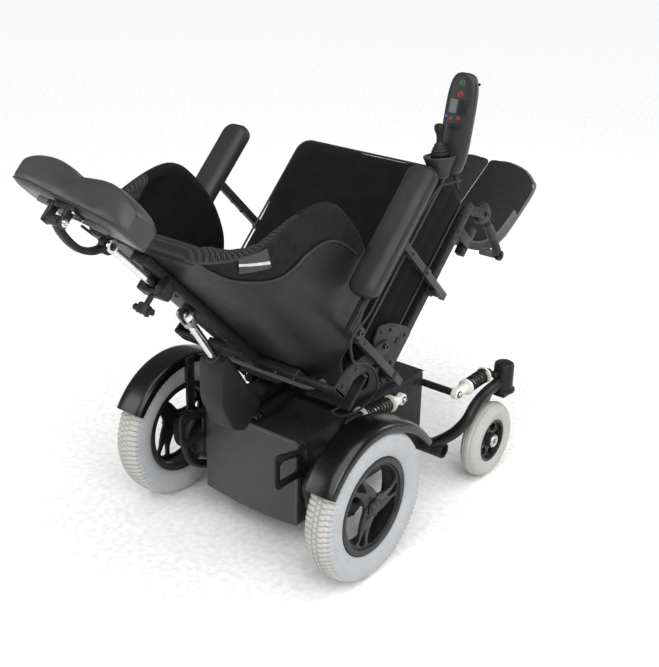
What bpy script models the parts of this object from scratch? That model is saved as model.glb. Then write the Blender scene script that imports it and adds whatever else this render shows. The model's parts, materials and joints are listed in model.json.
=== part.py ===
"""Power wheelchair: rear-wheel drive, powered tilt and recline, contoured back.

Metres, +Z up, the chair faces -Y, and +X is the user's left. The origin is the middle of the
object's box, on the floor. Places are given in millimetres as (x, forward, up): on the base from
the middle of the drive axle at floor level, on the seat from the tilt pivot, along the seat.
"""
import math

import bmesh
import bpy
from mathutils import Matrix, Vector

MM = 0.001
GAP = 0.3                      # clearance between touching pieces

# Base
AXLE_TO_CENTRE = 182.2         # drive axle to the middle of the object's box
BOX_HALF = 139.0               # battery box, half of its width
BOX_REAR, BOX_FRONT = -51.0, 433.0
BOX_LOW, BOX_TOP = 80.0, 292.0
WALL = 4.0
TYRE_R, TYRE_HALF, BEAD_R = 175.0, 37.3, 114.0
TRACK = 282.6                  # centre of a drive tyre
MOTOR_R = 50.0
CASTER_X, CASTER_FWD, CASTER_R, CASTER_HALF = 264.0, 547.0, 98.0, 25.0
CASTER_BEAD = 55.0
BARREL_FWD, BARREL_LOW, BARREL_TOP, BARREL_R = 610.0, 212.0, 288.0, 26.0
ARM_PIVOT = (453.3, 78.0)      # front cross shaft
DRIVE_PIVOT = (250.0, 125.0)   # drive arm's pin
FENDER_R = 188.0
TILT_PIVOT = (200.0, 420.0)
TILT_DEG = 45.0

# Seat, from the tilt pivot
RAIL_X = 214.0
SEAT_FRONT, SEAT_REAR, SEAT_TOP = 410.0, -45.0, 176.0
PAD_X, PAD_TOP, PAD_LOW = 258.0, 332.0, 298.0
BACK_REAR = -140.0             # rear face of the back shell at its middle
BACK_HALF, BACK_CORNER = 215.0, 110.0
HINGE = (-5.0, 100.0)          # recline pivot
CLEVIS = (-178.0, 453.0)       # recline rod's pin on the back
POD_PITCH = 33.0

BLACK = ((0.012, 0.012, 0.013), 0.42, 0.0)
SATIN = ((0.02, 0.02, 0.021), 0.5, 0.3)
GLOSS = ((0.006, 0.006, 0.007), 0.12, 0.0)
TYRE_GREY = ((0.62, 0.64, 0.66), 0.75, 0.0)
CASTER_GREY = ((0.5, 0.5, 0.5), 0.75, 0.0)
WHITE = ((0.75, 0.74, 0.7), 0.35, 0.0)
STEEL = ((0.55, 0.54, 0.52), 0.3, 1.0)
PLASTIC = ((0.03, 0.03, 0.032), 0.5, 0.0)
CLOTH = ((0.014, 0.014, 0.015), 0.9, 0.0)
GREY = ((0.09, 0.09, 0.09), 0.6, 0.0)

for old in list(bpy.data.objects):
    bpy.data.objects.remove(old, do_unlink=True)


# ---- frames and bodies -------------------------------------------------------------------------

class Body:
    """A moving group: an empty on the joint's axis that its pieces hang from."""

    def __init__(self, name, parent, x, fwd, up, turn=0.0):
        self.empty = bpy.data.objects.new(name + "_axis", None)
        bpy.context.scene.collection.objects.link(self.empty)
        self.seat = bool(parent and parent.seat) or turn != 0.0
        self.empty.parent = parent.empty if parent else None
        base = parent.origin if parent else Vector((0, 0, 0))
        here = Vector((x, -fwd, up)) * MM
        self.empty.location = here - base
        self.empty.rotation_euler = (math.radians(turn), 0, 0)
        self.origin = Vector((0, 0, 0)) if turn else here


def chair(x, fwd, up):
    return Vector((x, -fwd, up)) * MM


# ---- solids: every function gives a closed bmesh -----------------------------------------------

def box(x, fwd, up, round_by=0.0, steps=1):
    """A box from three (low, high) pairs, its edges rounded."""
    bm = bmesh.new()
    bmesh.ops.create_cube(bm, size=1.0)
    for v in bm.verts:
        v.co = chair(*(low + (high - low) * (c + 0.5)
                       for c, (low, high) in zip((v.co.x, v.co.y, v.co.z), (x, fwd, up))))
    bmesh.ops.recalc_face_normals(bm, faces=bm.faces)
    if round_by:
        bmesh.ops.bevel(bm, geom=bm.edges[:], offset=round_by * MM, segments=steps,
                        profile=0.5, affect='EDGES')
    return bm


def skin_rings(rings, close=True):
    """Joins rings of points into a closed skin; the ends are capped unless the rings close."""
    bm = bmesh.new()
    rows = [[bm.verts.new(p) for p in ring] for ring in rings]
    pairs = list(zip(rows, rows[1:]))
    if close:
        pairs.append((rows[-1], rows[0]))
    for a, b in pairs:
        for i in range(len(a)):
            j = (i + 1) % len(a)
            bm.faces.new((a[i], a[j], b[j], b[i]))
    if not close:
        bm.faces.new(rows[0])
        bm.faces.new(rows[-1])
    bmesh.ops.recalc_face_normals(bm, faces=bm.faces)
    return bm


def turned(profile, centre, axis, n):
    """A ring turned about an axis through centre; profile is a closed loop of (radius, along)."""
    centre = chair(*centre)
    axis = Vector((axis[0], -axis[1], axis[2])).normalized()
    side = axis.orthogonal().normalized()
    other = axis.cross(side)
    rings = []
    for i in range(n):
        a = 2 * math.pi * i / n
        out = side * math.cos(a) + other * math.sin(a)
        rings.append([centre + (out * r + axis * t) * MM for r, t in profile])
    return skin_rings(rings)


def rod(start, end, r, n=16, r_end=None):
    """A solid round bar between two points."""
    a, b = chair(*start), chair(*end)
    axis = (b - a).normalized()
    side = axis.orthogonal().normalized()
    other = axis.cross(side)
    rings = []
    for centre, radius in ((a, r), (b, r if r_end is None else r_end)):
        rings.append([centre + (side * math.cos(2 * math.pi * i / n)
                                + other * math.sin(2 * math.pi * i / n)) * radius * MM
                      for i in range(n)])
    return skin_rings(rings, close=False)


def smooth_path(points, per_span=4):
    """Catmull-Rom curve through the points."""
    pts = [Vector(p) for p in points]
    pts = [2 * pts[0] - pts[1]] + pts + [2 * pts[-1] - pts[-2]]
    out = []
    for p0, p1, p2, p3 in zip(pts, pts[1:], pts[2:], pts[3:]):
        for k in range(per_span):
            t = k / per_span
            out.append(0.5 * (2 * p1 + (p2 - p0) * t + (2 * p0 - 5 * p1 + 4 * p2 - p3) * t * t
                              + (3 * p1 - p0 - 3 * p2 + p3) * t ** 3))
    return out + [pts[-2]]


def bent_tube(points, r, n=10, per_span=4, flat=1.0):
    """A solid bar swept along a smooth curve."""
    path = [chair(*p) for p in smooth_path(points, per_span)]
    rings = []
    side = None
    for i, p in enumerate(path):
        ahead = (path[min(i + 1, len(path) - 1)] - path[max(i - 1, 0)]).normalized()
        if side is None:
            side = Vector((1, 0, 0)) - ahead * ahead.x
        side = (side - ahead * side.dot(ahead)).normalized()
        other = ahead.cross(side)
        rings.append([p + (side * math.cos(2 * math.pi * k / n)
                           + other * flat * math.sin(2 * math.pi * k / n)) * r * MM
                      for k in range(n)])
    return skin_rings(rings, close=False)


def plate(outline, low, high, across="x"):
    """An outline extruded: across x it is (fwd, up), across up (x, fwd), across fwd (x, up)."""
    place = {"x": lambda p, t: (t, p[0], p[1]),
             "up": lambda p, t: (p[0], p[1], t),
             "fwd": lambda p, t: (p[0], t, p[1])}[across]
    return skin_rings([[chair(*place(p, t)) for p in outline] for t in (low, high)], close=False)


def arc(centre, r, start, end, n):
    """Points of an arc in degrees, for an outline."""
    return [(centre[0] + r * math.cos(math.radians(start + (end - start) * i / n)),
             centre[1] + r * math.sin(math.radians(start + (end - start) * i / n)))
            for i in range(n + 1)]


def bar_outline(a, b, r_a, r_b, n=5):
    """The outline of a link with a round end at each of two points."""
    turn = math.degrees(math.atan2(b[1] - a[1], b[0] - a[0]))
    return arc(a, r_a, turn + 90, turn + 270, n) + arc(b, r_b, turn - 90, turn + 90, n)


def shape(adds, cuts=()):
    """Joins closed bmeshes into one body and cuts others out of it."""
    scene = bpy.context.scene
    made = []
    for bm in list(adds) + list(cuts):
        mesh = bpy.data.meshes.new("blank")
        bm.to_mesh(mesh)
        bm.free()
        made.append(bpy.data.objects.new("blank", mesh))
        scene.collection.objects.link(made[-1])
    first = made[0]
    for i, other in enumerate(made[1:], start=1):
        step = first.modifiers.new("step", 'BOOLEAN')
        step.operation = 'UNION' if i < len(adds) else 'DIFFERENCE'
        step.object = other
    seen = first.evaluated_get(bpy.context.evaluated_depsgraph_get())
    mesh = bpy.data.meshes.new_from_object(seen)
    for obj in made:
        bpy.data.objects.remove(obj, do_unlink=True)
    bm = bmesh.new()
    bm.from_mesh(mesh)
    bmesh.ops.remove_doubles(bm, verts=bm.verts, dist=0.00002)
    bmesh.ops.dissolve_limit(bm, angle_limit=math.radians(0.5), verts=bm.verts, edges=bm.edges)
    bmesh.ops.triangulate(bm, faces=[f for f in bm.faces if len(f.verts) > 4])
    return bm


def piece(name, body, look, bm, smooth=40.0):
    """Makes the node: its mesh hangs from the body's empty, with its own material."""
    for v in bm.verts:
        v.co -= body.origin
    mesh = bpy.data.meshes.new(name)
    bm.to_mesh(mesh)
    bm.free()
    mesh.shade_smooth()
    mesh.set_sharp_from_angle(angle=math.radians(smooth))
    colour, roughness, metallic = look
    material = bpy.data.materials.new(name)
    material.use_nodes = True
    shader = material.node_tree.nodes["Principled BSDF"]
    shader.inputs["Base Color"].default_value = (*colour, 1.0)
    shader.inputs["Roughness"].default_value = roughness
    shader.inputs["Metallic"].default_value = metallic
    mesh.materials.append(material)
    obj = bpy.data.objects.new(name, mesh)
    bpy.context.scene.collection.objects.link(obj)
    obj.parent = body.empty
    return obj


base = Body("base", None, 0, 0, 0)
base.empty.location = (0, AXLE_TO_CENTRE * MM, 0)


# ---- base: battery box, covers, batteries ------------------------------------------------------

def battery_box():
    outer = box((-BOX_HALF, BOX_HALF), (BOX_REAR + 4, BOX_FRONT), (BOX_LOW, BOX_TOP - 3 - GAP), 5)
    hollow = box((-BOX_HALF + WALL, BOX_HALF - WALL), (BOX_REAR - 20, BOX_FRONT - WALL),
                 (BOX_LOW + WALL, BOX_TOP + 20))
    adds, cuts = [outer], [hollow]
    adds.append(rod((-184, *ARM_PIVOT), (184, *ARM_PIVOT), 12))
    adds.append(box((-60, 60), (BOX_FRONT - 2, 452), (68, 100)))
    for s in (-1, 1):
        strut = sorted((s * (BOX_HALF - 2), s * 244))
        adds.append(rod((strut[0], 431, 259), (strut[1], 431, 259), 9, 12))
        for fwd, up, r, reach in ((*DRIVE_PIVOT, 12, 158), (306, 268, 5, 172)):
            low, high = sorted((s * (BOX_HALF - 2), s * reach))
            adds.append(rod((low, fwd, up), (high, fwd, up), r, 12))
        loop = [(-26, 208), (-122, 208), (-131, 218), (-131, 284),
                (-120, 291), (-26, 270)]
        window = [(-62, 226), (-112, 226), (-116, 232), (-116, 264), (-108, 270), (-62, 262)]
        low, high = sorted((s * (BOX_HALF - 1), s * (BOX_HALF + 3.5)))
        adds.append(plate(loop, low, high))
        cuts.append(plate(window, low - 3, high + 3))
    return shape(adds, cuts)


piece("battery_box", base, SATIN, battery_box())
piece("top_cover", base, BLACK, shape([
    box((-BOX_HALF, BOX_HALF), (BOX_REAR + 4, BOX_FRONT), (BOX_TOP - 3, BOX_TOP), 0.8)]))


def rear_cover():
    """The rear panel, its lower edge bowed down in the middle."""
    half = BOX_HALF - 1.4
    low = [(half * k / 6, BOX_LOW - 10 * (1 - (k / 6) ** 2)) for k in range(-6, 7)]
    return shape([plate(low + [(half, BOX_TOP), (-half, BOX_TOP)],
                        BOX_REAR, BOX_REAR + 4 - GAP, "fwd")])


piece("rear_cover", base, GREY, rear_cover())
piece("battery_pack", base, PLASTIC,
      shape([box((-132, 132), (-30, 300), (BOX_LOW + WALL + GAP, 262), 4)],
            [box((-2, 2), (-40, 310), (250, 280))]))


def tilt_bracket():
    adds = [box((-128, 128), (125, 330), (BOX_TOP + GAP, BOX_TOP + 8))]
    top = arc(TILT_PIVOT, 12, 10, 170, 8)
    outline = [(330, BOX_TOP + 2)] + top + [(125, BOX_TOP + 2)]
    for s in (-1, 1):
        low, high = sorted((s * 120, s * 128))
        adds.append(plate(outline[::-1], low, high))
    adds.append(rod((-124, *TILT_PIVOT), (124, *TILT_PIVOT), 9, 14))
    adds.append(rod((-12, 405, BOX_TOP + 20), (12, 405, BOX_TOP + 20), 5, 10))
    for s in (-1, 1):
        low, high = sorted((s * 11, s * 16))
        adds.append(box((low, high), (397, 413), (BOX_TOP + 4, BOX_TOP + 28)))
    adds.append(box((-16, 16), (320, 420), (BOX_TOP + GAP, BOX_TOP + 7)))
    return shape(adds)


piece("tilt_bracket", base, BLACK, tilt_bracket())


# ---- shocks --------------------------------------------------------------------------------

def shock(name, parent_rear, parent_front, x, eye, end):
    """A damper that pivots on the frame and a spring with its rod end that pivots on the arm."""
    ex, ez = eye
    length = math.dist(eye, end)
    ux, uz = (end[0] - ex) / length, (end[1] - ez) / length

    def at(t):
        return (x, ex + ux * t, ez + uz * t)

    along = (0, ux, uz)
    bore = 5.6 if name.startswith("rear") else 9.5
    damper = shape([rod((x - 9, *eye), (x + 9, *eye), bore + 4, 12), rod(at(9), at(46), 11, 12),
                    rod(at(42), at(86), 7, 8)],
                   [rod((x - 20, *eye), (x + 20, *eye), bore, 12)])
    body = Body(name + "_shock", parent_rear, x, *eye)
    piece(name + "_shock", body, WHITE, damper)
    rear = length - 16
    spring = shape([turned([(11.7, 50), (19, 50), (19, rear), (11.7, rear)], (x, *eye), along, 14),
                    rod((x - 7, *end), (x + 7, *end), 10, 12),
                    rod(at(rear - 3), at(length - 3), 12, 12, 8)],
                   [rod((x - 20, *end), (x + 20, *end), 5.6, 12)])
    body = Body(name + "_spring", parent_front, x, *end)
    piece(name + "_spring", body, BLACK, spring)


# ---- drive side: arm, gear motor, wheel, fender ----------------------------------------------

def drive_side(side, s):
    arm = Body("drive_arm_" + side, base, s * 146, *DRIVE_PIVOT)
    low, high = sorted((s * 144, s * 150))
    pin = sorted((s * 147, s * 170))
    hub = rod((low, 0, TYRE_R), (high, 0, TYRE_R), 45, 16)
    bow = [(s * 160, 60, 240), (s * 178, 12, 250), (s * 186, -42, 230), (s * 188, -70, 180),
           (s * 186, -50, 126), (s * 170, 0, 104), (s * 154, 45, 112)]
    piece("drive_arm_" + side, arm, SATIN, shape(
        [plate(bar_outline((0, TYRE_R), DRIVE_PIVOT, 30, 24)[::-1], low, high), hub,
         plate(bar_outline((80, 165), (126, 289), 22, 11)[::-1], low, high),
         rod((pin[0], 126, 289), (pin[1], 126, 289), 5, 12),
         bent_tube(bow, 10, 8, 2),
         rod((s * 146, 60, 240), (s * 164, 60, 240), 9, 8),
         rod((s * 146, 45, 112), (s * 156, 45, 112), 9, 8),
         plate(bar_outline((60, 240), (80, 165), 9, 20)[::-1], low, high)],
        [rod((s * 130, *DRIVE_PIVOT), (s * 160, *DRIVE_PIVOT), 12.5, 14)]))
    start, end = sorted((s * (150 + GAP), s * 262))
    piece("gear_motor_" + side, arm, BLACK, shape(
        [rod((start, 0, TYRE_R), (end, 0, TYRE_R), MOTOR_R, 20)],
        [rod((s * 225, 0, TYRE_R), (s * 270, 0, TYRE_R), 11, 16)]))

    stations = []
    for i in range(19):
        a = 150 - 130 * i / 18
        grow = max(0.0, (70 - a) / 50) ** 1.5 * 34
        stations.append((a, FENDER_R + grow))
    across = [(-45, -16), (-42, -5), (-30, 0), (20, 1), (31, -3), (35, -14)]
    rings = []
    for a, r in stations:
        c, k = math.cos(math.radians(a)), math.sin(math.radians(a))
        outer = [(s * (TRACK + u), (r + v + 3) * c, TYRE_R + (r + v + 3) * k) for u, v in across]
        inner = [(s * (TRACK + u * 0.94), (r + v) * c, TYRE_R + (r + v) * k)
                 for u, v in reversed(across)]
        rings.append([chair(*p) for p in outer + inner])
    stay = sorted((s * 150, s * 246))
    foot = sorted((s * 232, s * 240))
    piece("fender_" + side, arm, GLOSS, shape(
        [skin_rings(rings, close=False),
         box((foot[0], foot[1]), (-12, 12), (TYRE_R + MOTOR_R - 6, TYRE_R + FENDER_R + 1)),
         box(sorted((s * 200, s * 236)), (-12, 12),
             (TYRE_R + MOTOR_R - 6, TYRE_R + MOTOR_R + 7))],
        [rod((stay[0], 0, TYRE_R), (stay[1], 0, TYRE_R), MOTOR_R + GAP, 20)]))

    wheel = Body("drive_wheel_" + side, arm, s * TRACK, 0, TYRE_R)
    half = [(BEAD_R, 25), (122, 34), (140, TYRE_HALF), (164, 32), (TYRE_R, 14)]
    profile = [(r, t) for r, t in half] + [(r, -t) for r, t in reversed(half)]
    centre = (s * TRACK, 0, TYRE_R)
    piece("drive_tyre_" + side, wheel, TYRE_GREY, turned(profile, centre, (s, 0, 0), 32))
    adds = [turned([(104, -29), (BEAD_R - GAP, -29), (BEAD_R - GAP, 29), (104, 29)], centre, (s, 0, 0), 32),
            rod((s * 268, 0, TYRE_R), (s * 300, 0, TYRE_R), 26, 12),
            rod((s * 228, 0, TYRE_R), (s * 270, 0, TYRE_R), 10, 8)]
    for k in range(3):
        a = math.radians(90 + 120 * k)
        tip = (93 * math.cos(a), TYRE_R + 93 * math.sin(a))
        low, high = sorted((s * 290, s * 301))
        adds.append(plate(bar_outline((0, TYRE_R), tip, 16, 15, 3)[::-1], low, high))
    piece("drive_rim_" + side, wheel, BLACK, shape(adds))
    shock("rear_" + side, base, arm, s * 160, (306, 268), (126, 289))
    return arm


# ---- caster side: arm, fork, wheel -----------------------------------------------------------

def caster_side(side, s):
    arm = Body("caster_arm_" + side, base, s * 150, *ARM_PIVOT)
    route = [(s * 166, 452, 88), (s * 200, 440, 116), (s * 238, 434, 152), (s * 264, 442, 190),
             (s * 268, 472, 221), (s * 266, 515, 234), (s * 264, 560, 238), (s * 263, 604, 242)]
    sleeve = turned([(12.6, -52), (20, -52), (20, 28), (12.6, 28)], (s * 150, *ARM_PIVOT),
                    (s, 0, 0), 16)
    lug = sorted((s * (CASTER_X - 18), s * CASTER_X))
    pin = sorted((s * 228, s * (CASTER_X - 10)))
    piece("caster_arm_" + side, arm, SATIN, shape(
        [sleeve, bent_tube(route, 14, 8, 2),
         rod((s * CASTER_X, BARREL_FWD, BARREL_LOW), (s * CASTER_X, BARREL_FWD, BARREL_TOP),
             BARREL_R, 16),
         box(lug, (570, 606), (256, 270)),
         rod((pin[0], 578, 263), (pin[1], 578, 263), 5, 12)],
        [rod((s * CASTER_X, BARREL_FWD, BARREL_LOW - 5), (s * CASTER_X, BARREL_FWD, 276),
             10.5, 12), rod((s * 90, *ARM_PIVOT), (s * 210, *ARM_PIVOT), 12.6, 16)]))
    shock("front_" + side, base, arm, s * 236, (431, 259), (578, 263))

    fork = Body("caster_fork_" + side, arm, s * CASTER_X, BARREL_FWD, BARREL_LOW)
    inner = sorted((s * 224, s * 231))
    blade = bar_outline((CASTER_FWD, CASTER_R), (BARREL_FWD - 6, 190), 13, 20)
    piece("caster_fork_" + side, fork, SATIN, shape(
        [rod((s * CASTER_X, BARREL_FWD, 200), (s * CASTER_X, BARREL_FWD, 270), 10, 12),
         box(sorted((s * 224, s * (CASTER_X + 18))), (BARREL_FWD - 20, BARREL_FWD + 18),
             (199, 210), 3),
         plate(blade[::-1], *inner),
         rod((s * 226, CASTER_FWD, CASTER_R), (s * 292, CASTER_FWD, CASTER_R), 7, 12)]))

    wheel = Body("caster_wheel_" + side, fork, s * CASTER_X, CASTER_FWD, CASTER_R)
    centre = (s * CASTER_X, CASTER_FWD, CASTER_R)
    half = [(CASTER_BEAD, 18), (75, CASTER_HALF), (91, 20), (CASTER_R, 6)]
    profile = half + [(r, -t) for r, t in reversed(half)]
    piece("caster_tyre_" + side, wheel, CASTER_GREY, turned(profile, centre, (s, 0, 0), 24))
    piece("caster_rim_" + side, wheel, BLACK, shape([turned(
        [(7.5, -22), (18, -22), (18, -6), (46, -6), (48, -18), (CASTER_BEAD - GAP, -18),
         (CASTER_BEAD - GAP, 18), (48, 18), (46, 6), (18, 6), (18, 22), (7.5, 22)],
        centre, (s, 0, 0), 24)]))


for side, s in (("left", 1), ("right", -1)):
    drive_side(side, s)
    caster_side(side, s)


# ---- tilt actuator -----------------------------------------------------------------------------

ACT_FOOT = (405.0, BOX_TOP + 20)
ACT_SEAT = (70.0, -2.0)        # on the seat, from the tilt pivot


def on_base(fwd, up):
    """Turns a place on the tilted seat into a place on the base, both as (fwd, up)."""
    a = math.radians(TILT_DEG)
    return (TILT_PIVOT[0] + fwd * math.cos(a) - up * math.sin(a),
            TILT_PIVOT[1] + fwd * math.sin(a) + up * math.cos(a))


head = on_base(*ACT_SEAT)
reach = math.dist(ACT_FOOT, head)
dirn = ((head[0] - ACT_FOOT[0]) / reach, (head[1] - ACT_FOOT[1]) / reach)


def on_ram(t):
    return (0, ACT_FOOT[0] + dirn[0] * t, ACT_FOOT[1] + dirn[1] * t)


ram = Body("tilt_actuator", base, 0, *ACT_FOOT)
piece("tilt_actuator", ram, PLASTIC, shape(
    [rod(on_ram(28), on_ram(140), 17, 14), rod(on_ram(5), on_ram(32), 8, 10),
     rod((-9, *ACT_FOOT), (9, *ACT_FOOT), 9, 14)],
    [rod(on_ram(40), on_ram(150), 9.5, 12),
     rod((-20, *ACT_FOOT), (20, *ACT_FOOT), 5.5, 14)]))
ram_rod = Body("tilt_rod", ram, 0, *ACT_FOOT)
piece("tilt_rod", ram_rod, STEEL, shape(
    [rod(on_ram(92), on_ram(reach - 4), 9, 12), rod((-6, *head), (6, *head), 10, 14)]))

# ---- seat --------------------------------------------------------------------------------------

seat = Body("seat", base, 0, *TILT_PIVOT, turn=-TILT_DEG)


def seat_frame():
    adds = [box((-164, 164), (-62, SEAT_FRONT - 14), (16, 36), 3),
            box((-164, 164), (-62, -54), (-2, 30)),
            box((-164, 164), (-146, -56), (-2, 8), 2),
            box((-198, 198), (-40, SEAT_FRONT - 12), (33, 41))]
    cuts = []
    for s in (-1, 1):
        adds.append(box(sorted((s * (RAIL_X - 9), s * (RAIL_X + 9))), (-64, SEAT_FRONT - 6),
                        (18, 38), 2))
        adds.append(box(sorted((s * 190, s * (RAIL_X - 2))), (20, 380), (30, 37)))
        adds.append(plate(bar_outline((0, 0), (0, 20), 16, 16)[::-1], *sorted((s * 104, s * 113))))
        adds.append(plate(bar_outline(ACT_SEAT, (70, 24), 9, 10)[::-1],
                          *sorted((s * 10, s * 16))))
        cheek = [(-30, 22), (-30, 118), (-14, 140), (20, 147), (46, 112), (70, 50), (70, 22)]
        adds.append(plate(cheek[::-1], *sorted((s * (RAIL_X + 7), s * (RAIL_X + 12)))))
        adds.append(box(sorted((s * 233, s * 249)), (-52, -34), (-2, 244)))
        adds.append(box(sorted((s * 218, s * 241)), (-56, -30), (22, 46)))
        adds.append(box(sorted((s * 221, s * 228)), (164, 198), (14, 46)))
        adds.append(box(sorted((s * 227, s * 248)), (167, 171), (14, 46)))
        adds.append(plate(bar_outline((388, 28), KNEE, 10, 13)[::-1], *sorted((s * 206, s * 212))))
        adds.append(box(sorted((s * 186, s * 207)), (312, 386), (-70, -50), 2))
        adds.append(box(sorted((s * 204, s * 211)), (330, 356), (-60, 26)))
        adds.append(plate(bar_outline(RECLINE_FOOT, (-138, 5), 12, 12)[::-1],
                          *sorted((s * 17, s * 23))))
    cuts.append(rod((-118, 0, 0), (118, 0, 0), 9.6, 20))
    return shape(adds, cuts)


KNEE = (432.0, -66.0)
RECLINE_FOOT = (-246.0, 98.0)
piece("seat_frame", seat, SATIN, seat_frame())
piece("seat_cushion", seat, CLOTH, shape([
    box((-212, 212), (SEAT_REAR, SEAT_FRONT), (41 + GAP, SEAT_TOP), 22, 3)]))

# ---- back --------------------------------------------------------------------------------------

back = Body("back", seat, 0, *HINGE)
SPREAD = [(66, 128), (110, 190), (180, 226), (204, 318), (240, 384), (300, 420), (370, 438),
          (440, 440), (484, 428), (518, 398), (550, 348), (582, 280), (612, 216), (636, 170),
          (655, 118)]


def round_back(walk, inset):
    """A place (x, fwd) on the back's plan, walked from the middle, at a depth inside it."""
    flat = BACK_HALF - BACK_CORNER
    quarter = BACK_CORNER * math.pi / 2
    sign = 1 if walk >= 0 else -1
    walk = abs(walk)
    if walk < flat:
        x, fwd = walk, BACK_REAR + inset
    elif walk < flat + quarter:
        a = (walk - flat) / BACK_CORNER
        x = flat + (BACK_CORNER - inset) * math.sin(a)
        fwd = BACK_REAR + BACK_CORNER - (BACK_CORNER - inset) * math.cos(a)
    else:
        x, fwd = BACK_HALF - inset, BACK_REAR + BACK_CORNER + walk - flat - quarter
    return sign * x, fwd


def back_slab(outer, inner, columns=14):
    """A curved slab of the back between two depths, both skins split the same way."""
    bm = bmesh.new()
    edges = []
    for depth in (outer, inner):
        rows = [[bm.verts.new(chair(*round_back(span * (2 * k / columns - 1), depth), up))
                 for k in range(columns + 1)] for up, span in SPREAD]
        for a, b in zip(rows, rows[1:]):
            for k in range(columns):
                bm.faces.new((a[k], a[k + 1], b[k + 1]))
                bm.faces.new((a[k], b[k + 1], b[k]))
        edges.append(rows[0] + [r[-1] for r in rows[1:-1]] + rows[-1][::-1]
                     + [r[0] for r in rows[-2:0:-1]])
    a, b = edges
    for i in range(len(a)):
        j = (i + 1) % len(a)
        bm.faces.new((a[i], a[j], b[j], b[i]))
    bmesh.ops.recalc_face_normals(bm, faces=bm.faces)
    return bm


piece("back_shell", back, BLACK, shape([back_slab(0, 7)]))
piece("back_cushion", back, CLOTH, shape([back_slab(7.5, 46)]))


def back_frame():
    """Two cane plates, a cross plate and the hinge ears."""
    adds = [box((-130, 130), (-158, BACK_REAR - GAP), (150, 200), 2),
            box((-22, 22), (-160, BACK_REAR - GAP), (150, 640), 2),
            plate(bar_outline(CLEVIS, (-154, 453), 12, 13)[::-1], -5, 5)]
    for s in (-1, 1):
        ear = sorted((s * 226.6, s * 232))
        adds.append(plate([(-158, 150), (-158, 200), (-100, 190), (-5, 118), (14, 100), (-5, 82),
                           (-30, 92), (-110, 150)], *ear))
        adds.append(box(sorted((s * 128, s * 232)), (-158, -149), (152, 198)))
        adds.append(box(sorted((s * 9, s * 34)), (-190, -150), (545, 575)))
    adds.append(box((-32, 32), (-191, -181), (547, 573)))
    return shape(adds)


piece("back_frame", back, SATIN, back_frame())

# ---- recline actuator --------------------------------------------------------------------------

length = math.dist(RECLINE_FOOT, CLEVIS)
dirn = ((CLEVIS[0] - RECLINE_FOOT[0]) / length, (CLEVIS[1] - RECLINE_FOOT[1]) / length)
normal = (-dirn[1], dirn[0])


def on_recline(t, out=0.0, x=0.0):
    return (x, RECLINE_FOOT[0] + dirn[0] * t + normal[0] * out,
            RECLINE_FOOT[1] + dirn[1] * t + normal[1] * out)


motor = Body("recline_actuator", seat, 0, *RECLINE_FOOT)
wedge = [on_recline(t, out)[1:] for t, out in ((30, -16), (22, 56), (60, 80), (140, 68),
                                              (196, 30), (216, 16), (216, -16))]
piece("recline_actuator", motor, PLASTIC, shape(
    [plate(wedge, -34, 34), rod(on_recline(26), on_recline(220), 16, 16),
     rod(on_recline(4), on_recline(34), 9, 10),
     rod((-14, *RECLINE_FOOT), (14, *RECLINE_FOOT), 11, 14)],
    [rod(on_recline(48), on_recline(260), 10.5, 14)]))
piston = Body("recline_rod", motor, 0, *RECLINE_FOOT)
fork = []
for s in (-1, 1):
    fork.append(plate(bar_outline(on_recline(length)[1:], on_recline(length - 24)[1:], 10, 10),
                      *sorted((s * 7, s * 14))))
piece("recline_rod", piston, STEEL, shape(
    [rod(on_recline(158), on_recline(length - 16), 10, 14),
     rod(on_recline(length - 30), on_recline(length - 16), 14, 14)] + fork))

# ---- headrest ----------------------------------------------------------------------------------

stem = Body("headrest_stem", back, 0, -173, 560)
piece("headrest_stem", stem, STEEL, shape(
    [box((-8, 8), (-180, -166), (516, 718), 1.5), rod((-16, -173, 724), (16, -173, 724), 13, 14)]))
knob = Body("headrest_knob", back, 0, -200, 560)
piece("headrest_knob", knob, PLASTIC, shape(
    [rod((0, -192 - GAP, 560), (0, -226, 560), 6, 12), rod((0, -212, 560), (0, -232, 560), 15, 14),
     rod((-24, -222, 560), (24, -222, 560), 6, 10)]))
arm = Body("headrest_arm", stem, 0, -173, 724)
HEAD_PIN = (-200.0, 856.0)
piece("headrest_arm", arm, BLACK, shape(
    [bent_tube([(0, -182, 730), (0, -202, 752), (0, -214, 792), (0, -210, 830), (0, *HEAD_PIN)],
               9, 10, 3), rod((-14, *HEAD_PIN), (14, *HEAD_PIN), 10, 12)],
    [rod((-20, -173, 724), (20, -173, 724), 13.5, 16)]))
pad = Body("headrest_pad", arm, 0, *HEAD_PIN)
PAD_YAW, PAD_ROLL = 0.108, 0.033     # the pad is turned a little to one side
PAD_HALF, PAD_REAR, PAD_UP = 156.0, -170.0, 868.0


def headrest_pad():
    """A contoured pad, thicker at its wings, with rounded ends."""
    rows = []
    for i in range(15):
        t = i / 7 - 1
        x = PAD_HALF * math.sin(t * math.pi / 2)
        u = abs(x) / PAD_HALF
        thick = 60 + 14 * math.sin(u * math.pi) - 12 * u ** 4
        tall = 92 * math.sqrt(1 - 0.45 * u ** 6)
        rear = PAD_REAR + PAD_YAW * x
        high = PAD_UP + PAD_ROLL * x - (92 - tall) / 2
        low = high - tall
        ring = [(rear, low), (rear + thick * 0.7, low), (rear + thick, low + 20),
                (rear + thick, high - 16), (rear + thick * 0.85, high), (rear, high)]
        rows.append([chair(x, f, h) for f, h in ring])
    adds = [skin_rings(rows, close=False), box((-34, 34), (-178, -166), (820, 864), 2)]
    for s in (-1, 1):
        adds.append(box(sorted((s * 16.5, s * 25)), (-210, -172), (846, 866)))
    return shape(adds)


piece("headrest_pad", pad, BLACK, headrest_pad())


# ---- armrests ----------------------------------------------------------------------------------

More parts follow.
